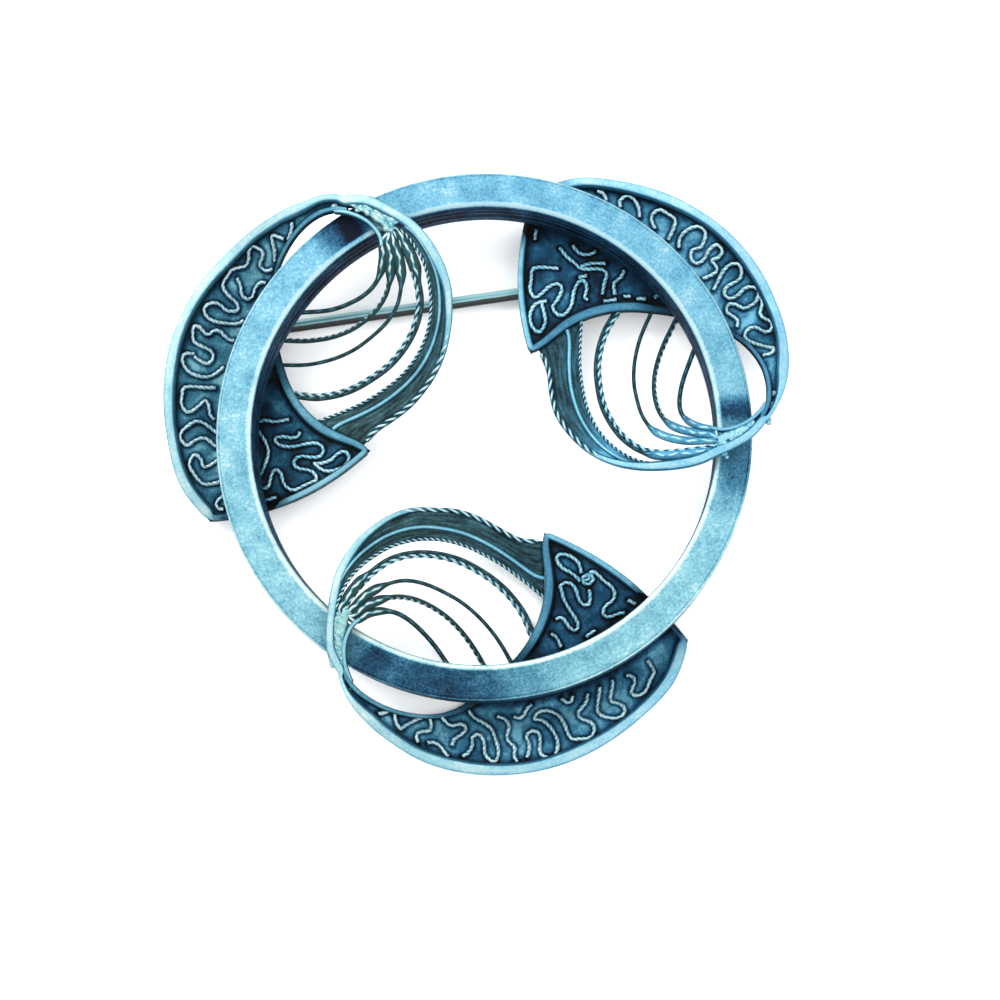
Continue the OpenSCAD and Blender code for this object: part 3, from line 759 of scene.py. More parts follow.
# %% Places of the filling wires
FILLING = {
    "right": [
        [(8.4, 22.9), (8.9, 22.7), (9.2, 22.1)],
        [(10.4, 21.5), (10.3, 22), (10.9, 22.4), (11.5, 22.1), (11.9, 21.4), (12, 20.6)],
        [(13.3, 19.6), (13, 20.3), (13.1, 20.8), (13.7, 21.1), (14.4, 20.7), (15, 20.2), (14.8, 19.4),
         (14.4, 18.6)],
        [(5.1, 16.1), (3.7, 16.2), (2.9, 16), (2.8, 15), (2.7, 14.1), (3.1, 13.4), (3.7, 13.8),
         (4.4, 14.5), (5.1, 14.7), (5.4, 14.2), (5, 13.2), (4.6, 12.6), (5, 11.9), (5.6, 11.9),
         (6.2, 12.8), (6.4, 14), (6.8, 14.9), (7.3, 15), (7.5, 14.3), (7.3, 13.5), (7.6, 13.3)],
        [(4.1, 13.1), (3.7, 13), (3.9, 12), (4, 11.1), (3.5, 10.2), (2.9, 10.7), (2.7, 11.6),
         (2.9, 12.4), (3.3, 12.9), (4.1, 13.1)],
        [(5.2, 18), (5.8, 17.2), (6.5, 16.6), (7.1, 16.1), (8.6, 16.1), (9.2, 15.7), (9, 14.9),
         (8.8, 13.8)],
        [(6.3, 18.2), (6.9, 17.5), (7.7, 17.4), (8.3, 17.7)],
        [(7, 16.3), (7.9, 16.6), (9.1, 16.6)],
        [(10.7, 16), (10.4, 15.4), (9.8, 14.8), (9.9, 13.8)],
        [(3.2, 19.6), (3.1, 19.1), (3.1, 18.7)],
        [(8.9, 13.2), (9.5, 13.3), (10, 13.4)],
        [(10.6, 13.7), (11.2, 13.7)],
        [(11.7, 13.5), (12.5, 13.5)],
        [(13.2, 13.6), (13.6, 13.8)],
        [(6.8, 15.3), (7.5, 15.5)],
        [(15.3, 17.9), (15.4, 18.7), (16, 19.3), (16.9, 19.5), (17.5, 19), (17.4, 18.3), (17.1, 17.8),
         (16.5, 17.7), (16.3, 17.3), (16.4, 16.8), (16.8, 16.5), (17.4, 16.8), (17.8, 17.5),
         (18.4, 17.9), (18.8, 17.6), (18.9, 17.2), (18.5, 16.8), (18, 16.7), (18.4, 16.2), (18.5, 15.8),
         (18.1, 15.5), (17.3, 15.2)],
        [(18.2, 14.2), (18.6, 15), (19, 15.7), (19.6, 16.2), (20.3, 16.1), (20.5, 15.5), (20.3, 14.9),
         (19.3, 14.4), (19.1, 13.8), (19.6, 13.4), (20.3, 13.7), (20.7, 14.1), (21.3, 14.2),
         (21.9, 13.8), (21.7, 13), (21.3, 12.7), (20.7, 12.5), (20, 12.9), (19.4, 12.9), (19.3, 12.3),
         (19.7, 12), (20.2, 11.5), (20.1, 10.9)],
        [(22, 13.3), (22.2, 12.7), (22, 12), (22.2, 11.5), (22.8, 11), (22.9, 10.4), (22.4, 10.1),
         (21.6, 10.7), (21, 10.6), (20.7, 10), (21.1, 9.4), (21.9, 8.9), (22.5, 8.6), (22.9, 8.4),
         (22.7, 8), (22, 7.9)],
    ],
    "left": [
        [(22.8, 6.8), (22.3, 7.1), (21.9, 7.7)],
        [(22.1, 8), (22.5, 8.4), (22.8, 8.8), (22.3, 9), (21.8, 9.1), (21.4, 9.3), (21.1, 9.5)],
        [(20.7, 9.9), (20.8, 10.5), (21.4, 10.8), (21.8, 10.3), (22.2, 10.1), (22.7, 10.5), (22.9, 10.7),
         (22.6, 11.2), (22.2, 11.4), (21.8, 11.9), (21.9, 12.6), (21.9, 13.2), (21.6, 13.6),
         (21.2, 14.2), (20.7, 14.4), (20, 14.2), (19.4, 13.9), (18.9, 13.9), (18.7, 14.1), (18.8, 14.5),
         (19, 14.9), (19.6, 15.2), (19.9, 15.6), (19.9, 16.2), (19.6, 16.6), (19, 16.6), (18.5, 16.2),
         (18.1, 15.5), (17.7, 14.5), (17.8, 13.9)],
        [(21.2, 13), (20.5, 13), (19.8, 13.2), (19.3, 12.9), (19.4, 12.4), (19.9, 12), (20.2, 11.4),
         (20, 10.9)],
        [(16.5, 15.3), (16.6, 15.6), (17.1, 15.9), (17.6, 16.1), (17.8, 16.6), (17.6, 17), (17.8, 17.3),
         (18.4, 17.5), (18.6, 17.9), (17.9, 18.3), (17.4, 18.4), (16.9, 18), (16.4, 17.5), (16, 17.4),
         (15.6, 17.6), (15.4, 18.1), (15.7, 18.5), (16.3, 18.9)],
        [(16.5, 18.8), (16.7, 19.5), (16.3, 19.9), (15.5, 19.9), (14.9, 19.5), (14.4, 18.7),
         (14.4, 17.9), (14.7, 17)],
        [(13.3, 18.3), (13.6, 19.1), (14, 20), (14.1, 20.7), (13.5, 21.1), (12.9, 21.4), (12.2, 21.3),
         (12.1, 20.8), (12.4, 20), (12.6, 19.5), (12.1, 19.4), (11.3, 19.6), (10.8, 19.4)],
        [(9.7, 19.7), (10.3, 20), (10.9, 20.4), (11.2, 20.9), (11, 21.7), (10.7, 22.3), (10.2, 22.6),
         (9.5, 22.3), (9.7, 21.6), (9.7, 20.9), (9.3, 20.5), (8.6, 20.2)],
        [(7.5, 20.5), (7.3, 21.3), (7.4, 21.8), (8, 21.7), (8.6, 22), (8.3, 22.5), (7.8, 22.8),
         (7.1, 22.7), (6.6, 22.6), (6, 22.3), (5.8, 21.7), (5.7, 21)],
        [(4.5, 21.2), (4.2, 21.9), (3.7, 22), (3.4, 21.6)],
        [(6.9, 13.2), (6.6, 13.4), (6.7, 14), (7.1, 14.6), (7.3, 15.3), (7, 15.4), (6.6, 15.2),
         (6.2, 14.7), (5.9, 14), (5.7, 13.1), (5.4, 12.3), (4.9, 11.9), (4.4, 12), (4.2, 12.5),
         (4.5, 13.2), (4.9, 13.8), (4.9, 14.4), (4.5, 14.7), (4, 14.4), (3.6, 13.8), (3.1, 13.4),
         (2.5, 13.4), (2.5, 13.9), (2.5, 14.6), (2.5, 15.5), (3, 16), (3.6, 16.1), (4.3, 16),
         (4.8, 16.3), (4.6, 16.7), (4.1, 17.1), (3.7, 17.4), (3.7, 17.9)],
        [(3.9, 13.1), (3.6, 12.5), (3.5, 11.6), (3.7, 11.1), (3.7, 10.4), (3.2, 10.1), (2.7, 10.4),
         (2.5, 11), (2.6, 11.9), (3, 12.6), (3.9, 13.1)],
        [(9.1, 16.4), (9.1, 15.6), (8.6, 14.8), (8.3, 13.6)],
        [(8.5, 16.4), (7.4, 16.2), (6.4, 16.3), (5.5, 17), (4.8, 17.7)],
        [(2.7, 18.2), (2.6, 17.1)],
    ],
    "bottom": [
        [(22.7, 6.4), (22.4, 6.7), (22, 6.9), (21.9, 7.3), (22.3, 7.7), (22.6, 8.2), (22.6, 8.5),
         (22.2, 8.6), (21.7, 8.8), (21.2, 9), (20.8, 9.3), (20.6, 9.6), (20.9, 10.1), (21.4, 10.3),
         (21.8, 9.9), (22.2, 9.7), (22.5, 9.9), (22.7, 10.2)],
        [(22.3, 10.8), (22, 11.1), (21.9, 11.7), (22.1, 12.4), (22.2, 12.8)],
        [(19.9, 10.1), (20, 10.6), (20.1, 11.2), (19.9, 11.6), (19.5, 11.9), (19.4, 12.4), (19.7, 12.6),
         (20.2, 12.5), (20.8, 12.3), (21.3, 12.5)],
        [(18.2, 11.8), (18.4, 12.5), (18.3, 13.3), (18.3, 14.2), (18.7, 14.9), (19.2, 15.6), (19.7, 16),
         (20.3, 16.1), (20.4, 15.6), (20.2, 15), (19.6, 14.5), (19.3, 14), (19.3, 13.6), (19.8, 13.4),
         (20.3, 13.8), (21, 13.9), (21.5, 13.7)],
        [(17.2, 14), (17, 14.7), (17.3, 15.3), (18, 15.6), (18.3, 16), (18.4, 16.7), (19, 17.1),
         (19.2, 17.6)],
        [(16.4, 15.1), (16.3, 15.5), (15.9, 15.7), (15.3, 15.6), (14.7, 15.7)],
        [(18.5, 18), (17.9, 17.8), (17.4, 17.4), (17.1, 16.9), (16.5, 17), (16.3, 17.6), (16.8, 18.1),
         (17.4, 18.5), (17.6, 19), (17.2, 19.7), (16.5, 19.6), (15.9, 19.2), (15.5, 18.5), (15.3, 17.8),
         (15.3, 17.1), (15.6, 16.6), (15, 16.5), (14.4, 17), (14.2, 17.7), (14.2, 18.2), (14.5, 18.9),
         (14.9, 19.5), (15.1, 20.1), (14.7, 20.6), (14.3, 21.1), (13.7, 21.2), (13.2, 20.9),
         (13.1, 20.4), (13.3, 19.7), (13.1, 19.2), (12.5, 19.2), (11.9, 19.2), (11.3, 18.9)],
        [(10.3, 19.4), (10.8, 19.7), (11.4, 20), (12, 20.4), (12.1, 21), (11.9, 21.5), (11.6, 22),
         (11, 22.3), (10.5, 22), (10.5, 21.4), (10.7, 20.8), (10.1, 20.4), (9.6, 20.2), (9.2, 19.9)],
        [(8.2, 20.6), (8, 21.1), (8.3, 21.5), (8.8, 21.6), (9.2, 21.8), (9.1, 22.3), (8.6, 22.6),
         (8.1, 22.6), (7.4, 22.4), (6.7, 22.3), (6.4, 21.8), (6.2, 21.3)],
        [(12.9, 17.4), (12.9, 18), (12.6, 18.2), (12.2, 18)],
        [(3.6, 12.7), (3.1, 12.1), (3, 11.5), (3.1, 10.9), (3.4, 10.4), (3.8, 10.3), (4.1, 10.7),
         (4.2, 11.3), (4.1, 11.9), (4.1, 12.5), (4.2, 13)],
        [(3.9, 13.3), (3.5, 13.5), (3.4, 13.2), (3.8, 13), (4.1, 13.3), (4, 13.7), (3.4, 13.8),
         (3.2, 13.3), (2.9, 13.4), (2.9, 14), (3, 14.6), (3, 15.3), (3.3, 15.9), (3.9, 16.1),
         (4.5, 15.9), (5.1, 16), (5.3, 16.4), (5, 16.8), (4.5, 17.1), (4.1, 17.5)],
        [(4.3, 14), (4.7, 14.4), (5.3, 14.7), (5.6, 14.3), (5.4, 13.7), (5, 13.2), (4.8, 12.6),
         (5, 12.1), (5.5, 11.9), (5.7, 12.2), (6.2, 12.8), (6.6, 13.7), (6.9, 14.5), (7.2, 15),
         (7.7, 15.1), (7.8, 14.6), (7.6, 14), (7.5, 13.5), (7.9, 13.2)],
        [(3.1, 17.1), (3, 17.8)],
        [(7.6, 16.1), (7.2, 16.2), (6.7, 16.4)],
        [(9.1, 13.6), (9.1, 14.2), (9.5, 14.9)],
    ],
}
print("filling wires", {name: len(lines) for name, lines in FILLING.items()})

# %% [markdown]
# ## Wires
# Two fine wires twisted together make filigree wire. Swept as one closed tube it keeps that look at a tenth
# of the faces: the profile is a peanut, wide across the two strands and narrow where they touch, and it turns
# as it goes, so its ridges wind round like the strands and catch the light as a row of dashes. A painted
# highlight on the ridges that face up adds to those dashes, and the crease between the strands keeps its
# oxide.

# %% Round and twisted wires
ROPE_FLAT = 0.9


def tube(path, r, sides, spin=0.0, flat=1.0):
    """Rings of points round a path: place + r cos(a) left + flat r sin(a) up, with a turned by spin."""
    _, left, up = frames(path)
    angle = np.linspace(0, 2 * math.pi, sides, endpoint=False)[None, :] + spin
    return (path[:, None, :] + (r * np.cos(angle))[..., None] * left[:, None, :]
            + (r * np.sin(angle) * flat)[..., None] * up[:, None, :]), np.sin(angle)


def rope(path, radius, turn, sides=12, squeeze=0.58, seed=0, valley=0.12):
    """Twisted pair: r = radius (squeeze + (1 - squeeze) cos(a)^2), turned once every turn mm. Its value is
    high on ridges that face up, as wear and a painted highlight, and the valley's share of it is kept between
    them."""
    phase = np.random.default_rng(seed).uniform(0, 2 * math.pi)
    spin = 2 * math.pi * lengths(path)[:, None] / turn + phase
    lobe = np.cos(np.linspace(0, 2 * math.pi, sides, endpoint=False)[None, :]) ** 2
    grid, height = tube(path, radius * (squeeze + (1 - squeeze) * lobe), sides, spin, ROPE_FLAT)
    # Painted highlight: brighter where a ridge faces up; the crease between strands stays darker as oxide.
    return grid, 0.02 + 1.1 * smooth(0.45 + 0.65 * height) * (valley + (1 - valley) * lobe)


def plain(path, radius, sides=12):
    """Round drawn wire. Its value grows smoothly with the height of the surface's normal: wear and a painted
    highlight on top, painted shade underneath.
    """
    grid, height = tube(path, radius, sides)
    return grid, 0.02 + 0.8 * smooth(0.15 + 0.85 * height)


def wires(name, leaf, finish, made, replaced=()):
    """One piece from several wires of a leaf, each a grid and its rub."""
    skin(name, "brooch", "bright_silver", finish, [leaf.laid(grid) for grid, _ in made], replaced,
         rub=[rub for _, rub in made])


print("helpers made:", ", ".join(helper.__name__ for helper in (tube, rope, plain, wires)))

# %% [markdown]
# ## The filling on each sheet
# Each traced wire is laid on the cupped sheet and twisted. Its thickness is a little uneven. Under the hoop
# it is painted darker as shade, and inside the hoop's bore a little darker as painted shade too.

# %% Filling of each leaf
FILLING_R = 0.18
FILLING_TURN = 0.92
FILLING_SOFT = 0.12


def filling_path(leaf, places):
    """A traced filling wire on the sheet: its middle lies at bed + T/2 + 0.45 of its radius."""
    plan = leaf.set(along(places, np.linspace(0, 1, 12 * len(places))))
    height = leaf.bed(plan) + PLATE_T / 2 + 0.45 * FILLING_R
    return softened(evenly(with_height(plan, height)), FILLING_SOFT)


def filling_wire(path, k):
    """Twisted wire k, its radius uneven by 0.1 sin(2 pi s / 2.3 + k) + 0.06 sin(2 pi s / 0.9 + 2 k)."""
    s = lengths(path)[:, None]
    uneven = 1 + 0.1 * np.sin(2 * math.pi * s / 2.3 + k) + 0.06 * np.sin(2 * math.pi * s / 0.9 + 2 * k)
    grid, rub = rope(path, 0.97 * FILLING_R * uneven, FILLING_TURN, squeeze=0.84, seed=k, valley=0.7)
    radius = np.linalg.norm(path[:, :2], axis=1)[:, None]
    # Painted shade: a little darker inside the bore, and darker still under the hoop.
    inside = smooth((BORE_R - radius) / 0.5)
    shade = 0.5 * smooth((RING_R + 0.9 - radius) / 0.9) * smooth((radius - BORE_R + 0.6) / 0.6)
    return grid, 0.12 + rub * (1 - 0.2 * inside) - shade


filling_paths = {leaf.name: [filling_path(leaf, places) for places in FILLING[leaf.name]] for leaf in leaves}
for leaf in leaves:
    made = [filling_wire(path, k) for k, path in enumerate(filling_paths[leaf.name])]
    wires(f"filling_{leaf.name}", leaf, filling_silver, made)

# %% [markdown]
# ## The sheet
# A thin darkened sheet closes each leaf. Its finish is darker beside the raised strips and along each filling
# wire, where oxide collects in the hollows and painted shade is laid as well. From the hoop inward it is
# painted in shade, darkest under the hoop and lighter again well inside its bore.

# %% Wear of a sheet
RIM_W = 1.05
EDGE_W = 0.95
END_W = 0.62
LEAF_LENGTH = 20


def edge_width(t):
    """Width of the strip along the inner edge: half at the knot, full past the hoop, less at the tip."""
    return EDGE_W * (0.5 + 0.5 * smooth((t - 0.3) / 0.25)) * (1 - 0.3 * smooth((t - 0.8) / 0.2))


def nearest(p, lines):
    """Distance in plan from each point to the closest place on any of the lines."""
    places = np.vstack([line[::2, :2] for line in lines])
    parts = np.array_split(p.reshape(-1, 2), 40)
    close = [np.linalg.norm(part[:, None] - places[None], axis=-1).min(1) for part in parts]
    return np.concatenate(close).reshape(p.shape[:-1])


def sheet_wear_and_shade(leaf, p, t, v, width):
    """0.83, less 0.5 exp(-d / 0.28) at distance d from a strip, less 0.56 exp(-(d / 0.15)^2) at d from a
    filling wire, less 0.66 from the hoop inward, and 0.36 more well inside its bore. Beside strips and wires
    the darkening is oxide in the hollows with painted shade; from the hoop inward it is painted shade."""
    radius = np.linalg.norm(p, axis=-1)
    strips = np.minimum.reduce([v * width - RIM_W, (1 - v) * width - edge_width(t),
                                (1 - t) * LEAF_LENGTH - END_W])
    wire = nearest(p, filling_paths[leaf.name]) - FILLING_R
    return (0.83 - 0.5 * np.exp(-np.maximum(strips, 0) / 0.28)
            - 0.56 * np.exp(-(np.maximum(wire, 0) / 0.15) ** 2)
            - 0.66 * smooth((RING_R + 0.7 - radius) / 0.9)
            + 0.36 * smooth((BORE_R - 0.2 - radius) / 1.2))


print("the edge's strip is", round(float(edge_width(0)), 2), "mm wide at the knot,", EDGE_W, "past the hoop")

# %% [markdown]
# ## The sheet as a piece
# Two layers of the same grid make the sheet. Its top is slightly dimpled, as hammered metal is.

# %% Sheet of each leaf
SHEET_INSET = 0.15
SHEET_END = 0.995
DIMPLE = 0.02
UNDERSIDE_RUB = 0.25


def sheet(leaf, steps=200, lanes=80):
    """Two layers of the leaf's grid, joined round the outside: bed + T/2 on top and bed - T/2 below."""
    t, v = np.meshgrid(np.linspace(0, 1, steps), np.linspace(0, 1, lanes), indexing="ij")
    width = leaf.width(t)
    inset = SHEET_INSET / width
    p = leaf.at(t * SHEET_END, inset + v * (1 - 2 * inset))
    bed = leaf.bed(p)
    dimple = DIMPLE * (np.sin(p[..., 0] * 2.1 + 1) * np.sin(p[..., 1] * 1.7) - 1)
    top, under = with_height(p, bed + PLATE_T / 2 + dimple), with_height(p, bed - PLATE_T / 2 + 0.04)
    rub = sheet_wear_and_shade(leaf, p, t, v, width)
    return (leaf.laid(np.concatenate([top, under[:, ::-1]], 1)),
            np.concatenate([rub, np.full_like(rub, UNDERSIDE_RUB)], 1))


for leaf in leaves:
    grid, rub = sheet(leaf)
    skin(f"sheet_{leaf.name}", "brooch", "dark_silver", sheet_silver, [grid], [f"leaf_plate_{leaf.name}"],
         rub=[rub])

# %% [markdown]
# ## The knot
# Where all wires of a leaf meet, solder and little grains hold them on the hoop: one big nugget on the wires'
# ends, a chain of smaller lumps up to the apex where the two strips meet, and crumbs of solder around them.

# %% Places of the lumps, each with its radius
LUMPS = {
    "right": [(18.1, 0.35, 0.62), (19.2, 0.75, 0.42), (20.1, 1.3, 0.34), (21.1, 1.75, 0.36),
              (22.0, 2.0, 0.46), (18.6, -0.65, 0.3), (22.5, 3.3, 0.3), (22.7, 4.2, 0.3)],
    "left": [(18.7, -0.55, 0.6), (19.6, -0.35, 0.44), (20.2, 0.1, 0.48), (20.9, 0.45, 0.5),
             (21.5, 0.8, 0.48), (22.0, 1.3, 0.46), (22.3, 2.1, 0.42), (22.4, 3.0, 0.34),
             (19.3, -1.2, 0.32), (21.2, 1.3, 0.3)],
    "bottom": [(17.9, -0.5, 0.62), (18.9, -0.2, 0.38), (19.5, 0.15, 0.36), (20.15, 0.65, 0.42),
               (20.85, 1.0, 0.38), (21.5, 1.7, 0.3), (22.0, 2.6, 0.32), (22.2, 3.5, 0.3)]}
print("lumps at each knot", {name: len(places) for name, places in LUMPS.items()})

# %% [markdown]
# ## The fan's traced wires
# Over the bore a leaf opens as a fan. Five wires leave the knot, swing out and come back to the leaf's inner
# edge. The first is the inner side of the dark band, the others are free. They fall from the knot to the
# sheet as smooth(t / fall).

# %% Places of the fan's wires
KNOT = np.array([18.5, -0.35])
KNOT_Z = RING_TOP + 0.75
KNOT_REACH = 8
WEB_T = 0.35
FOOT_IN = 0.45
# Share of each wire spent falling, and its places
FAN = [
    (1, [(17.9, -1.3), (16.7, -1.68), (15.4, -1.87), (14.1, -1.8), (12.8, -1.48), (11.4, -0.95), (10.1, -0.1),
         (9, 1), (8.15, 2.3), (7.55, 3.8), (7.2, 5.5), (7, 7.3), (7, 9.2), (7.1, 11)]),
    (1, [(17.9, -0.9), (16.3, -1), (14.9, -0.95), (13.5, -0.75), (12.1, -0.3), (10.7, 0.75), (9.6, 2.2),
         (8.8, 4), (8.45, 6), (8.4, 7.7), (8.65, 9.3), (9.15, 10.8), (9.85, 12)]),
    (0.95, [(17.75, -0.35), (16.5, -0.25), (15.2, 0.05), (13.9, 0.65), (12.75, 1.6), (12, 3), (11.6, 4.6),
            (11.4, 6.2), (11.5, 7.9), (11.85, 9.6), (12.3, 10.9), (12.75, 11.9)]),
    (0.9, [(17.7, 0.12), (16.7, 0.35), (15.7, 0.75), (14.8, 1.3), (14, 2.1), (13.4, 3.3), (13.1, 4.8),
           (13.1, 6.3), (13.4, 7.9), (13.95, 9.5), (14.5, 10.7), (14.9, 11.5)]),
    (0.72, [(17.75, 0.62), (16.8, 0.95), (15.9, 1.6), (15.3, 2.6), (15.15, 3.8), (15.3, 5.2), (15.6, 6.5),
            (16.05, 7.8), (16.5, 9), (16.9, 10.2), (17.1, 11.05)])]
# Where the strip along the inner edge runs on over the hoop, down to the knot
OVER_HOOP = [(22.3, 4.0), (21.7, 2.7), (20.95, 1.75), (20, 1.0), (19, 0.6), (18.2, 0.52), (17.5, 0.7)]


def shifted(leaf, places):
    """Places moved to the leaf's side near the knot, which eases to nothing 8 mm away from it."""
    places = np.array(places, float)
    places[:, 1] += leaf.side * smooth(1 - np.linalg.norm(places - KNOT, axis=1) / KNOT_REACH)
    return places


def fan_wire(leaf, i, count=90):
    """Wire i from inside the knot's nugget to just into the strip at its foot. Its height is
    KNOT_Z + (bed(foot) - KNOT_Z) smooth(t / fall)."""
    fall, places = FAN[i]
    places = shifted(leaf, places)
    nugget = np.array(LUMPS[leaf.name][0][:2])
    start = nugget + 0.35 * (places[0] - nugget)
    ahead = (places[-1] - places[-2]) / np.linalg.norm(places[-1] - places[-2])
    row = np.linspace(-1, len(places), count)
    table = np.vstack([start, places, places[-1] + FOOT_IN * ahead])
    plan = leaf.set(along(table, (row + 1) / (len(places) + 1)))
    foot = leaf.bed(leaf.set(places[-1]))
    return with_height(plan, KNOT_Z + (foot - KNOT_Z) * smooth(row / (len(places) - 1) / fall))


for leaf in leaves:
    print("lengths of the fan's wires,", leaf.name,
          [round(float(lengths(fan_wire(leaf, i))[-1]), 1) for i in range(len(FAN))])

# %% [markdown]
# ## The border
# One silver strip frames a leaf. It starts at the inner tip, runs round the fan to the knot, over the hoop,
# along the leaf's outer rim, back along the end, round the inner tip and along the inner edge, and last over
# the hoop again to the knot. Its top is flat and bright, from wear and a painted highlight, its inner side
# leans, its sides are painted in shade, and oxide lies in the groove at its foot.

# %% Strip along a path
FULL_W = 0.95
FULL_H = 0.7
# Section of a strip: side (1 is the leaf's outside), inset, 1 for from the top, height, and wear with painted
# light: bright on top as wear and painted highlight, darker down the sides as painted shade
SECTION = np.array([
    (1, 0.1, 0, 0.0, 0.15), (1, 0.02, 0, 0.06, 0.25), (1, 0.0, 0, 0.2, 0.3), (1, 0.0, 1, 0.3, 0.35),
    (1, 0.0, 1, 0.14, 0.5), (1, 0.03, 1, 0.05, 0.68), (1, 0.09, 1, 0.01, 0.8), (1, 0.16, 1, 0.0, 0.86),
    (1, 0.3, 1, -0.005, 0.9), (-1, 0.42, 1, -0.005, 0.88), (-1, 0.3, 1, 0.0, 0.84),
    (-1, 0.25, 1, 0.02, 0.74), (-1, 0.2, 1, 0.07, 0.5), (-1, 0.1, 1, 0.2, 0.38), (-1, 0.03, 1, 0.3, 0.2),
    (-1, 0.0, 1, 0.38, 0.1), (-1, 0.0, 0, 0.2, 0.02), (-1, 0.02, 0, 0.06, 0.15), (-1, 0.1, 0, 0.0, 0.15)])


def bar(path, width, low, high):
    """A profile swept along a path. Each of its rows is placed at half the width less an inset on its side,
    and at a height below the top or above the bottom. Insets shrink with narrow or low strips."""
    _, left, _ = frames(path * [1, 1, 0.3])
    left[:, 2] = 0
    left /= np.linalg.norm(left, axis=1, keepdims=True)
    sign, inset, top, down, rub = SECTION.T
    x = sign * (width[:, None] / 2 - inset * np.minimum(1, width[:, None] / FULL_W))
    drop = down * np.minimum(1, (high - low)[:, None] / FULL_H)
    z = np.where(top > 0.5, high[:, None] - drop, low[:, None] + drop)
    grid = path[:, None, :] - x[..., None] * left[:, None, :]
    grid[..., 2] = z + path[:, None, 2]
    return grid, rub[None, :], x


def inward(plan, distance):
    """The line moved to its left by a distance at each point."""
    flat = np.column_stack([plan[:, :2], np.zeros(len(plan))])
    return plan[:, :2] + np.reshape(distance, (-1, 1)) * frames(flat)[1][:, :2]


print("a strip's section has", len(SECTION), "points")

# %% [markdown]
# ## The fan's outline
# The strip's path round the fan is traced for each leaf. It climbs from the sheet at the inner tip to the
# knot on top of the hoop, and comes down again to the sheet outside it.

# %% Outer line of each fan


def outline(leaf, count=260):
    """Outer line of the fan's strip from the inner tip over the hoop to the leaf's rim, as plan and height.
    It climbs from the sheet to the knot as smooth(1 - t), and over the hoop it eases down to the sheet."""
    places = np.vstack([leaf.set(np.array(leaf.outline)), leaf.rim(np.array([0.0, 0.03]))])
    u = np.linspace(0, 1, count) * (len(places) - 2) / (len(places) - 1)
    plan = along(places, u)
    row = u * (len(places) - 1)
    foot, last = leaf.bed(plan[0]), leaf.bed(plan[-1])
    climb = KNOT_Z + (foot - KNOT_Z) * smooth(1 - row / (FAN_ROWS - 1))
    ease = smooth((row - FAN_ROWS + 1) / (len(places) - 1 - FAN_ROWS))
    return with_height(plan, climb + (last - KNOT_Z) * ease * (row > FAN_ROWS - 1)), row / (FAN_ROWS - 1)


print("length round each fan", [round(float(lengths(outline(leaf)[0])[-1]), 1) for leaf in leaves], "mm")

# %% [markdown]
# ## The border's path
# The path is made of three stretches: round the fan, round the leaf, and over the hoop to the knot. Each step
# on it carries its own width, foot, top and wear, so one sweep makes the whole strip.

# %% Stretches round the fan and over the hoop
MARGIN = 0.05
FAN_TIP_W = 0.44
OVER_W = (0.45, 0.36)


def round_fan(leaf):
    """Columns x, y, z, width, low, high and wear round the fan. The strip widens from the tip to the knot."""
    fan, share = outline(leaf)
    width = FAN_TIP_W + (leaf.strip - FAN_TIP_W) * smooth((share - 0.35) / 0.5)
    on_fan = 1 - smooth((share - 1.0) / 0.25)
    low = -PLATE_T / 2 * (1 - on_fan) - WEB_T / 2 * on_fan
    high = 0.7 * (1 - on_fan) + (0.425 - 0.22 * (1 - smooth((share - 0.35) / 0.25))) * on_fan
    wear = -0.45 * (1 - smooth((share - 0.3) / 0.3))
    return np.column_stack([inward(fan, width / 2 + MARGIN), fan[:, 2], width, low, high, wear])


def over_hoop(leaf, start, n=60):
    """The same columns from the inner edge's end at height start over the hoop to the knot."""
    over = leaf.set(along(shifted(leaf, OVER_HOOP), np.linspace(0.1, 1, n)))
    return np.column_stack([over, np.linspace(start, KNOT_Z, n), np.linspace(*OVER_W, n),
                            np.full(n, -0.2), np.linspace(0.68, 0.4, n), np.full(n, -0.1)])


print("columns of a stretch", round_fan(leaves[0]).shape[1])

# %% [markdown]
# ## Round the leaf
# The strip lies on the sheet's edges. Where they pass under the hoop there is no room for its raised part, so
# it sinks flat there and comes up again on both sides.

# %% The whole border's path
NARROW = 0.42
BORDER_END = 0.98


def round_leaf(leaf, n=150):
    """The same columns along the rim, across the end and back along the edge. Under the hoop the strip keeps
    flat, and painted shade darkens it there."""
    t = np.linspace(0.01, BORDER_END, n)
    rim_w = np.minimum(leaf.strip + (RIM_W - leaf.strip) * smooth(t / 0.2), NARROW * leaf.width(t))
    rim = inward(leaf.rim(t), rim_w / 2 + MARGIN)
    across = leaf.width(t[-1:])[0]
    v = np.linspace(RIM_W / 2 / across, 1 - edge_width(1.0) / 2 / across, n)
    end = leaf.at(np.full(n, BORDER_END), v)[1:-1]
    back = t[::-1]
    edge_w = np.minimum(edge_width(back), NARROW * leaf.width(back))
    edge = leaf.at(back, 1 - (edge_w / 2 + MARGIN) / leaf.width(back))
    end_w = np.full(len(end), END_W)
    rows = []
    for plan, width, wear in ((rim, rim_w, 0.0), (end, end_w, -0.12), (edge, edge_w, -0.3)):
        bed = leaf.bed(plan)
        radius = np.linalg.norm(plan, axis=1)
        clear = np.maximum(radius - RING_R, BORE_R - radius)
        rise = np.where(bed > RING_Z + 1, 1.0, smooth((clear - 0.5) / 1.5))
        # Painted shade near and under the hoop.
        shade = 0.4 * (1 - smooth((clear + 0.2) / 2.2)) * (bed < RING_Z + 1)
        rows.append(np.column_stack([plan, bed, width, np.full(len(plan), -PLATE_T / 2),
                                     PLATE_T / 2 + 0.45 * rise, wear - shade]))
    return np.vstack(rows)


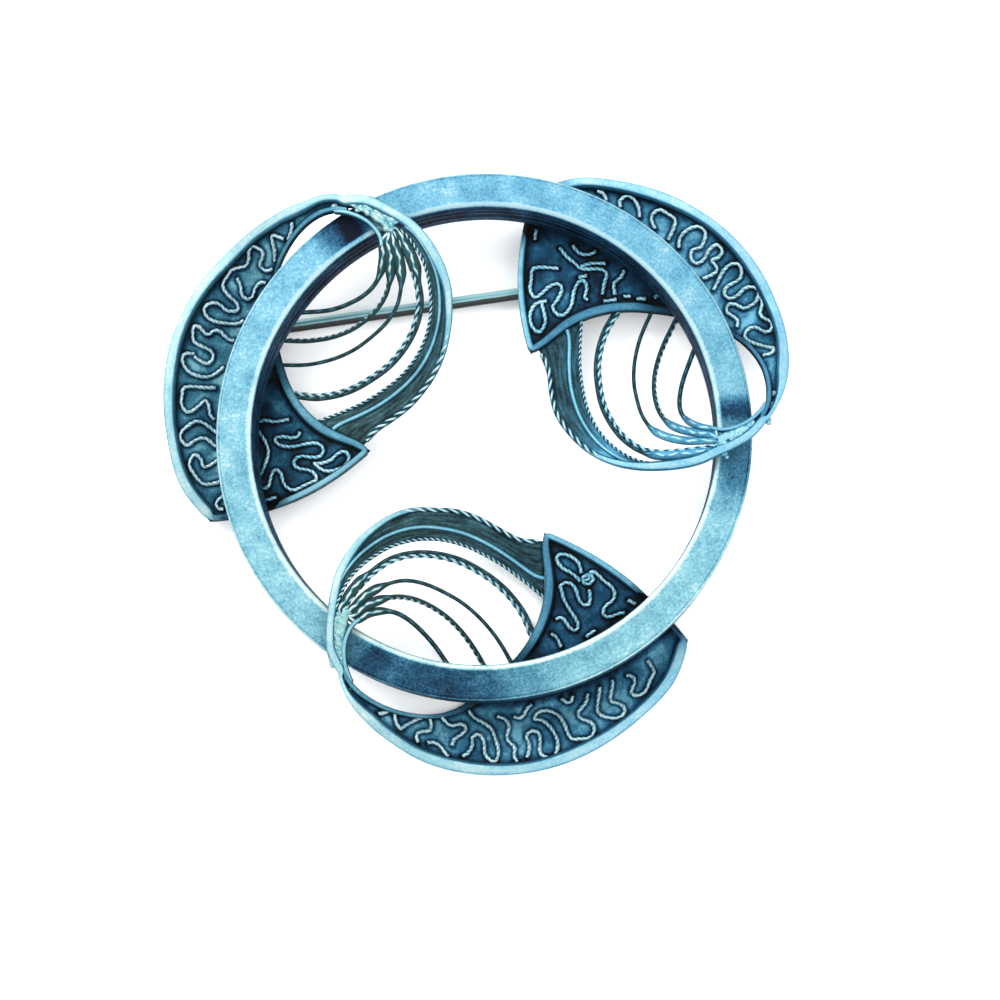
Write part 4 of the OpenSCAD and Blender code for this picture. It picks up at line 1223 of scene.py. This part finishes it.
def border(leaf):
    """The whole border in even steps. Its width wavers by up to a tenth, as hand-filed strip does."""
    around = round_leaf(leaf)
    path = softened(evenly(np.vstack([round_fan(leaf), around, over_hoop(leaf, around[-1, 2])])))
    path[:, 3] *= 1 - 0.05 * (1 + np.sin(lengths(path[:, :3]) / 1.7))
    return path


borders = {leaf.name: border(leaf) for leaf in leaves}
print("length of each border", [round(float(lengths(path[:, :3])[-1])) for path in borders.values()], "mm")

# %% [markdown]
# ## The border as a piece
# The strip carries its own lengths along and across, so that fine draw marks can run along it in the finish.

# %% Border of each leaf
for leaf in leaves:
    path = borders[leaf.name]
    grid, rub, across = bar(path[:, :3], path[:, 3], path[:, 4], path[:, 5])
    run = lengths(path[:, :3])[:, None]
    skin(f"border_{leaf.name}", "brooch", "bright_silver", strip_silver, [leaf.laid(grid)],
         [f"leaf_plate_{leaf.name}"], rub=[rub + path[:, 6:7]], run=[run], side=[across])

# %% [markdown]
# ## The dashes on the fan's far rim
# Towards the inner tip the fan's strip gives way to coarse twisted wire, which shows as a row of dashes.

# %% Twisted end of each fan's rim
DASHED_SHARE = 0.62
for leaf in leaves:
    fan, share = outline(leaf)
    far = share < DASHED_SHARE
    path = softened(evenly(with_height(inward(fan, 0.27)[far], fan[far, 2] + 0.2)))
    grid, rub = rope(path, 0.21, 1.9, squeeze=0.5, seed=5)
    wires(f"fan_rim_{leaf.name}", leaf, wire_silver, [(grid, rub * 1.1)])

# %% [markdown]
# ## The fan's free wires
# Each free wire is a dark drawn wire with a fine bright one on its crown, which wanders a little and swells in
# beads: that bright wire is a painted highlight, and the dark wire's underside is painted shade. Close to the
# knot the wires are wide and flat, because they are pressed together there.

# %% Wire with a painted highlight on its crest


def wire_with_highlight(path, thin, thick, highlight_level, bead, rubbed, joined, seed=0):
    """A dark wire, flat and wide until it leaves its neighbours, with a fine bright wire on its crown as a
    painted highlight; the dark wire is painted lighter on top and in shade below. The fine one wanders and
    swells: its radius has the factor 1 - 0.3 (1 + sin(2 pi s / bead + seed)) / 2."""
    s = lengths(path)[:, None]
    near = 1 - smooth((s - joined) / 1.5)
    radius = thin + (thick - thin) * near * (0.45 + 0.55 * smooth(s / 2.6))
    body, height = tube(path, radius, 14, flat=0.75)
    wander = 0.06 * np.sin(2 * math.pi * s / 2.1 + seed) + 0.03 * np.sin(2 * math.pi * s / 0.8 + 2 * seed)
    beads = 1 - 0.3 * (0.5 + 0.5 * np.sin(2 * math.pi * s / bead + seed))
    # The fine bright wire laid on the crown is a painted highlight.
    highlight_path = beside(path, wander * (0.3 + 0.7 * near)) + 0.72 * radius * [0, 0, 1]
    line, lit = tube(highlight_path, (0.075 + 0.045 * near) * beads, 8)
    return [(body, 0.14 + (0.2 + rubbed * near) * smooth(0.4 + height)),
            (line, 0.1 + (highlight_level + (1.15 - highlight_level) * near) * smooth(0.7 + lit) * (1.5 * beads - 0.5))]


print("helper made:", wire_with_highlight.__name__)

# %% [markdown]
# ## The ribs as pieces
# Short tables say how the fans and their four wires differ, and one loop makes them all. Beside the first and
# the third wire a twisted one is soldered.

# %% Ribs of each fan
# How much brighter each fan was rubbed near its knot, the radius of its ribs there, and how far from the knot
# each of the four lies against its neighbours
RUBBED = {"right": 0.36, "left": 0.06, "bottom": 0.0}
WIDE = {"right": 0.36, "left": 0.46, "bottom": 0.42}
JOINED = {"right": (5.4, 5.0, 4.0, 2.9), "left": (3.6, 3.4, 3.1, 2.9), "bottom": (3.3, 3.1, 2.9, 2.7)}
# Each free wire: move to its left and up, thin radius, share of the wide one, and the brightness and bead of
# the painted highlight on its crest
RIBS = [(0.17, 0.0, 0.17, 1.15, 0.4, 1.1), (0.0, 0.0, 0.17, 1.0, 0.4, 1.3),
        (0.0, 0.03, 0.19, 1.0, 0.35, 0.9), (0.0, 0.0, 0.2, 0.85, 0.55, 1.2)]
# Twisted wire soldered along a free wire: move to the left and up, radius, turn and valley
COMPANIONS = {1: (-0.15, 0.04, 0.2, 1.7, 0.25), 3: (-0.08, 0.0, 0.19, 1.3, 0.1)}


def rib_wires(leaf, i):
    """The wires that make free wire i, as grids with their rub."""
    path = softened(evenly(fan_wire(leaf, i)))
    aside, up, thin, share, highlight_level, bead = RIBS[i - 1]
    made = wire_with_highlight(beside(path, aside) + [0, 0, up], thin, share * WIDE[leaf.name], highlight_level, bead,
                   RUBBED[leaf.name], JOINED[leaf.name][i - 1], i - 1.0)
    if i in COMPANIONS:
        aside, up, radius, turn, valley = COMPANIONS[i]
        made.append(rope(beside(path, aside) + [0, 0, up], radius, turn, seed=3, valley=valley))
    return made


for leaf in leaves:
    for i in range(1, len(FAN)):
        wires(f"rib_{i}_{leaf.name}", leaf, wire_silver, rib_wires(leaf, i), [f"rib_{i}_{leaf.name}"])

# %% [markdown]
# ## The fan's outer band
# The band is a dark web that carries the strip on its rim, a bright round wire along its middle and a fine
# twisted wire along its inner side.

# %% Band of each fan
# Wires on the band: share across it at the tip and at the knot, radius at both, and whether it is twisted
BAND_WIRES = ((0.55, 0.66, 0.13, 0.2, False), (0.97, 0.97, 0.15, 0.15, True))
BAND_STEPS = 140


def band_lines(leaf):
    """Outer and inner line of the band, both from tip to knot in the same number of steps."""
    fan, share = outline(leaf, 400)
    outer = fan[share <= 1.0][::-1]
    last = outer[-1] - outer[-12]
    outer = np.vstack([outer, outer[-1] + 0.5 * last / np.linalg.norm(last)])
    s = np.linspace(0, 1, BAND_STEPS)
    outer = np.column_stack([np.interp(s, np.linspace(0, 1, len(outer)), column) for column in outer.T])
    return outer, fan_wire(leaf, 0, BAND_STEPS)


def band_web(leaf, outer, inner):
    """The web as a thin skin: outer (1 - v) + inner v, half its thickness up and down. It is brighter near
    the knot."""
    s = np.linspace(0, 1, BAND_STEPS)
    v = np.linspace(0.04, 1, 16)[None, :, None]
    middle = outer[:, None, :] * (1 - v) + inner[:, None, :] * v
    up = np.array([0, 0, WEB_T / 2])
    web = np.concatenate([middle + up, (middle - up)[:, ::-1]], 1)
    rub = 0.42 + RUBBED[leaf.name] * (1 - smooth((s - 0.45) / 0.35))[:, None] + 0 * web[..., 2]
    return web, rub, np.concatenate([v[0, :, 0], v[0, ::-1, 0]])[None, :]


def band_wire(outer, inner, near, far, thin, thick, twisted):
    """A wire on the web at outer (1 - v) + inner v, where v and the radius grow evenly along it."""
    s = np.linspace(0, 1, BAND_STEPS)[:, None]
    v = near + (far - near) * s
    middle = outer * (1 - v) + inner * v + [0, 0, WEB_T / 2 + 0.08]
    path = softened(evenly(np.column_stack([middle, thin + (thick - thin) * s])))
    path, radius = path[:, :3], path[:, 3:]
    return rope(path, radius, 1.0, seed=3) if twisted else plain(path, radius)


for leaf in leaves:
    outer, inner = band_lines(leaf)
    web, rub, across = band_web(leaf, outer, inner)
    skin(f"band_web_{leaf.name}", "brooch", "dark_silver", web_silver, [leaf.laid(web)],
         [f"fan_band_{leaf.name}"], rub=[rub], run=[np.linspace(0, 20, len(web))[:, None]], side=[across])
    wires(f"band_wires_{leaf.name}", leaf, wire_silver, [band_wire(outer, inner, *row) for row in BAND_WIRES],
          [f"fan_band_{leaf.name}"])

# %% [markdown]
# ## Grains as rounded skins
# A grain is a ball grid that sinks into its neighbours. Its radius swells and shrinks with a few sine waves
# over its surface, as solder does when it freezes.

# %% One grain
GRAIN_FLAT = 0.7


def grain(centre, radius, phase, rings=14, sides=20):
    """r = radius (1 + 0.09 sin(3 b + p) sin(2 a + p) + 0.05 sin(5 b - p) sin a), flattened to 0.7."""
    a = np.linspace(0.06, math.pi - 0.06, rings)[:, None]
    b = np.linspace(0, 2 * math.pi, sides, endpoint=False)[None, :]
    swell = 0.09 * np.sin(3 * b + phase) * np.sin(2 * a + phase) + 0.05 * np.sin(5 * b - phase) * np.sin(a)
    r = radius * (1 + swell)
    unit = np.stack([np.sin(a) * np.cos(b), np.sin(a) * np.sin(b), -GRAIN_FLAT * np.cos(a) + 0 * b], -1)
    # Painted highlight on the top of each grain, painted shade underneath.
    return centre + r[..., None] * unit, 0.12 + 0.82 * smooth(0.3 - 0.8 * np.cos(a)) + 0 * b


print("points on a grain", grain(np.zeros(3), 1.0, 0.0)[0][..., 0].size)

# %% [markdown]
# ## Solder that ran along the wires
# Beside the lumps the solder followed the wires over the hoop and froze as thick, uneven cords.

# %% Solder runs
RUN_R = 0.27
RUNS = 5
RUNS_RIGHT = 0.26
CHAIN_END = 21.6


def runs(leaf, seed):
    """Five wires beside the lumps, each with a radius of 0.27 (1 + 0.1 sin(2 pi s / 0.8 + p)
    + 0.08 sin(2 pi s / 0.47 - p)), seeded."""
    rng = np.random.default_rng(seed)
    chain = np.array([lump for lump in LUMPS[leaf.name] if lump[1] > -0.62 and lump[0] < CHAIN_END])[:, :2]
    made = []
    for shift in np.linspace(-0.5 - 0.35 * leaf.bulge, RUNS_RIGHT, RUNS):
        plan = leaf.set(along(chain, np.linspace(0, 1, 90)))
        path = evenly(with_height(plan, RING_TOP + 0.76 + rng.uniform(0, 0.06)))
        path = softened(beside(path, shift))
        s, p = lengths(path)[:, None], rng.uniform(0, 6)
        swell = 0.1 * np.sin(2 * math.pi * s / 0.8 + p) + 0.08 * np.sin(2 * math.pi * s / 0.47 - p)
        path[:, :2] += 0.05 * np.sin(2 * math.pi * s / 1.3 + p) * frames(path)[1][:, :2]
        grid, height = tube(path, RUN_R * (1 + swell), 14)
        # Painted highlight on the top of each cord, painted shade underneath.
        made.append((grid, 0.1 + 0.84 * smooth((height + 0.2) / 0.8)))
    return made


print("solder runs at each knot", RUNS)

# %% [markdown]
# ## The heap of grains
# Each traced lump becomes two overlapping grains, and small crumbs of solder lie round those on the hoop.

# %% Grains of each knot
CRUMBS = 20
CRUMB_R = (0.13, 0.2)
ON_HOOP = 20.9
KNOT_TOP = RING_TOP + 1.06


def knot(leaf, seed):
    """Each traced lump as two overlapping grains, with crumbs round them, all tops near 1.1 over the hoop."""
    rng = np.random.default_rng(seed)
    lumps = np.repeat(np.array(LUMPS[leaf.name]), 2, axis=0)
    way = rng.uniform(0, 2 * math.pi, len(lumps))
    away = 0.5 * lumps[:, 2] * rng.uniform(0.2, 1, len(lumps))
    lumps[:, :2] += (away * np.stack([np.cos(way), np.sin(way)])).T
    lumps[:, 2] *= rng.uniform(0.6, 0.85, len(lumps))
    on_hoop = lumps[lumps[:, 0] < ON_HOOP]
    crumbs = on_hoop[rng.integers(0, len(on_hoop), CRUMBS)] + rng.uniform(-0.3, 0.3, (CRUMBS, 3)) * [1, 1, 0]
    crumbs[:, 2] = rng.uniform(*CRUMB_R, CRUMBS)
    every = np.vstack([lumps, crumbs])
    plan = leaf.set(every[:, :2])
    sunk = np.concatenate([rng.uniform(-0.16, 0.0, len(lumps)), rng.uniform(-0.3, -0.12, CRUMBS)])
    return [grain(np.array([x, y, z - GRAIN_FLAT * r]), r, phase)
            for (x, y), z, r, phase in zip(plan, KNOT_TOP + sunk, every[:, 2], rng.uniform(0, 6, len(every)))]


for k, leaf in enumerate(leaves):
    wires(f"grains_{leaf.name}", leaf, knot_silver, runs(leaf, 41 + k) + knot(leaf, 31 + k),
          [f"knot_{leaf.name}"])

# %% [markdown]
# ## The pin behind
# The hinge, its rivet, the stem and the catch keep their packed shapes, because those work. They only get a
# finish: drawn wire and cut sheet. The stem's colour changes in bands across it: a painted highlight and
# reflection on the side towards the jewel's top, and painted shade on the other.

# %% Finish of the pin's parts


def drawn(name, grain_scale, wear, tones, across=None):
    """Plain worn silver: level = base + wear (cloud - 1/2) + wear / 2 (speck - 1/2). The base is 0.55, or for
    the stem its share of the way across the wire, (place . direction - axis) / 1 mm + 1/2, and there the tones
    paint bands of highlight and reflection on one side and shade on the other."""
    f = Finish(name)
    place = f.place()
    cloud = f.noise(place, 700.0, 3.0)
    speck = f.noise(place, grain_scale, 2.0)
    base = 0.55
    if across is not None:
        base = (f.dot(place, tuple(across)) - float(across @ joint["pos_m"])) * (1 / MM) + 0.5
    level = (base + (cloud - 0.5) * wear + (speck - 0.5) * (wear / 2)).held()
    return f.done(Base_Color=f.ramp(level, *tones), Roughness=0.6 - level * 0.2,
                  Metallic=0.2 + level * 0.3, Normal=f.bump(speck, 0.2, 0.00002))


# Direction across the stem towards its painted highlight; the stem's tones below are painted light and shade.
towards_highlight = LAY @ np.array([-math.sin(pin_turn), math.cos(pin_turn), 0.1])
towards_highlight /= np.linalg.norm(towards_highlight)
pin_silver = drawn("pin_silver", 5000.0, 0.1, [
    (0, tone(40, 38, 38)), (1, tone(150, 190, 200)), (0.12, tone(30, 30, 30)), (0.28, tone(66, 80, 78)),
    (0.37, tone(24, 40, 40)), (0.43, tone(190, 240, 250)), (0.52, tone(160, 225, 235)),
    (0.62, tone(104, 172, 186)), (0.74, tone(190, 252, 255)), (0.9, tone(195, 250, 255))], towards_highlight)
fitting_silver = drawn("fitting_silver", 3500.0, 0.8, [(0, PETROL), (1, PALE)])
for name, finish in (("pin_stem", pin_silver), ("hinge_block", fitting_silver),
                     ("hinge_rivet", fitting_silver), ("catch", fitting_silver)):
    node = frame["nodes"][name]
    node.data.materials.clear()
    node.data.materials.append(finish)
print("packed shapes kept with a finish: pin_stem, hinge_block, hinge_rivet, catch")

# %% [markdown]
# ## Floor and light
# The floor is pale and plain. Soft light from all round comes from the world, and two large panels above give
# the strips and wires their bright tops.

# %% Floor and lights


def floor(size=0.6, cells=12):
    """A flat grid at height zero."""
    x, y = np.meshgrid(np.linspace(-size, size, cells), np.linspace(-size, size, cells), indexing="ij")
    points = np.stack([x, y, 0 * x], -1).reshape(-1, 3)
    index = np.arange(cells * cells).reshape(cells, cells)
    quads = np.stack([index[:-1, :-1], index[1:, :-1], index[1:, 1:], index[:-1, 1:]], -1).reshape(-1, 4)
    mesh = bpy.data.meshes.new("floor")
    mesh.from_pydata(points.tolist(), [], quads.tolist())
    made = bpy.data.objects.new("floor", mesh)
    bpy.context.scene.collection.objects.link(made)
    paper = Finish("floor_paper")
    mesh.materials.append(paper.done(Base_Color=(0.97, 0.98, 0.98, 1), Roughness=0.9))


def panel(name, place, size, power):
    """A square area light that faces the jewel."""
    data = bpy.data.lights.new(name, "AREA")
    data.shape = "SQUARE"
    data.size = size
    data.energy = power
    made = bpy.data.objects.new(name, data)
    bpy.context.scene.collection.objects.link(made)
    away = np.array(place) / np.linalg.norm(place)
    side = np.cross([0, 1, 0], away)
    side /= np.linalg.norm(side)
    stand(made, (side, np.cross(away, side), away), place)


floor()
world = bpy.data.worlds.new("studio")
world.use_nodes = True
world.node_tree.nodes["Background"].inputs["Color"].default_value = (0.96, 0.985, 1.0, 1)
world.node_tree.nodes["Background"].inputs["Strength"].default_value = 1.85
bpy.context.scene.world = world
panel("key", (-0.16, 0.2, 0.3), 0.22, 1.25)
panel("fill", (0.22, -0.05, 0.32), 0.25, 0.4)
bpy.context.scene.view_settings.view_transform = "Standard"
print("lights", sorted(light.name for light in bpy.data.lights))

# %% [markdown]
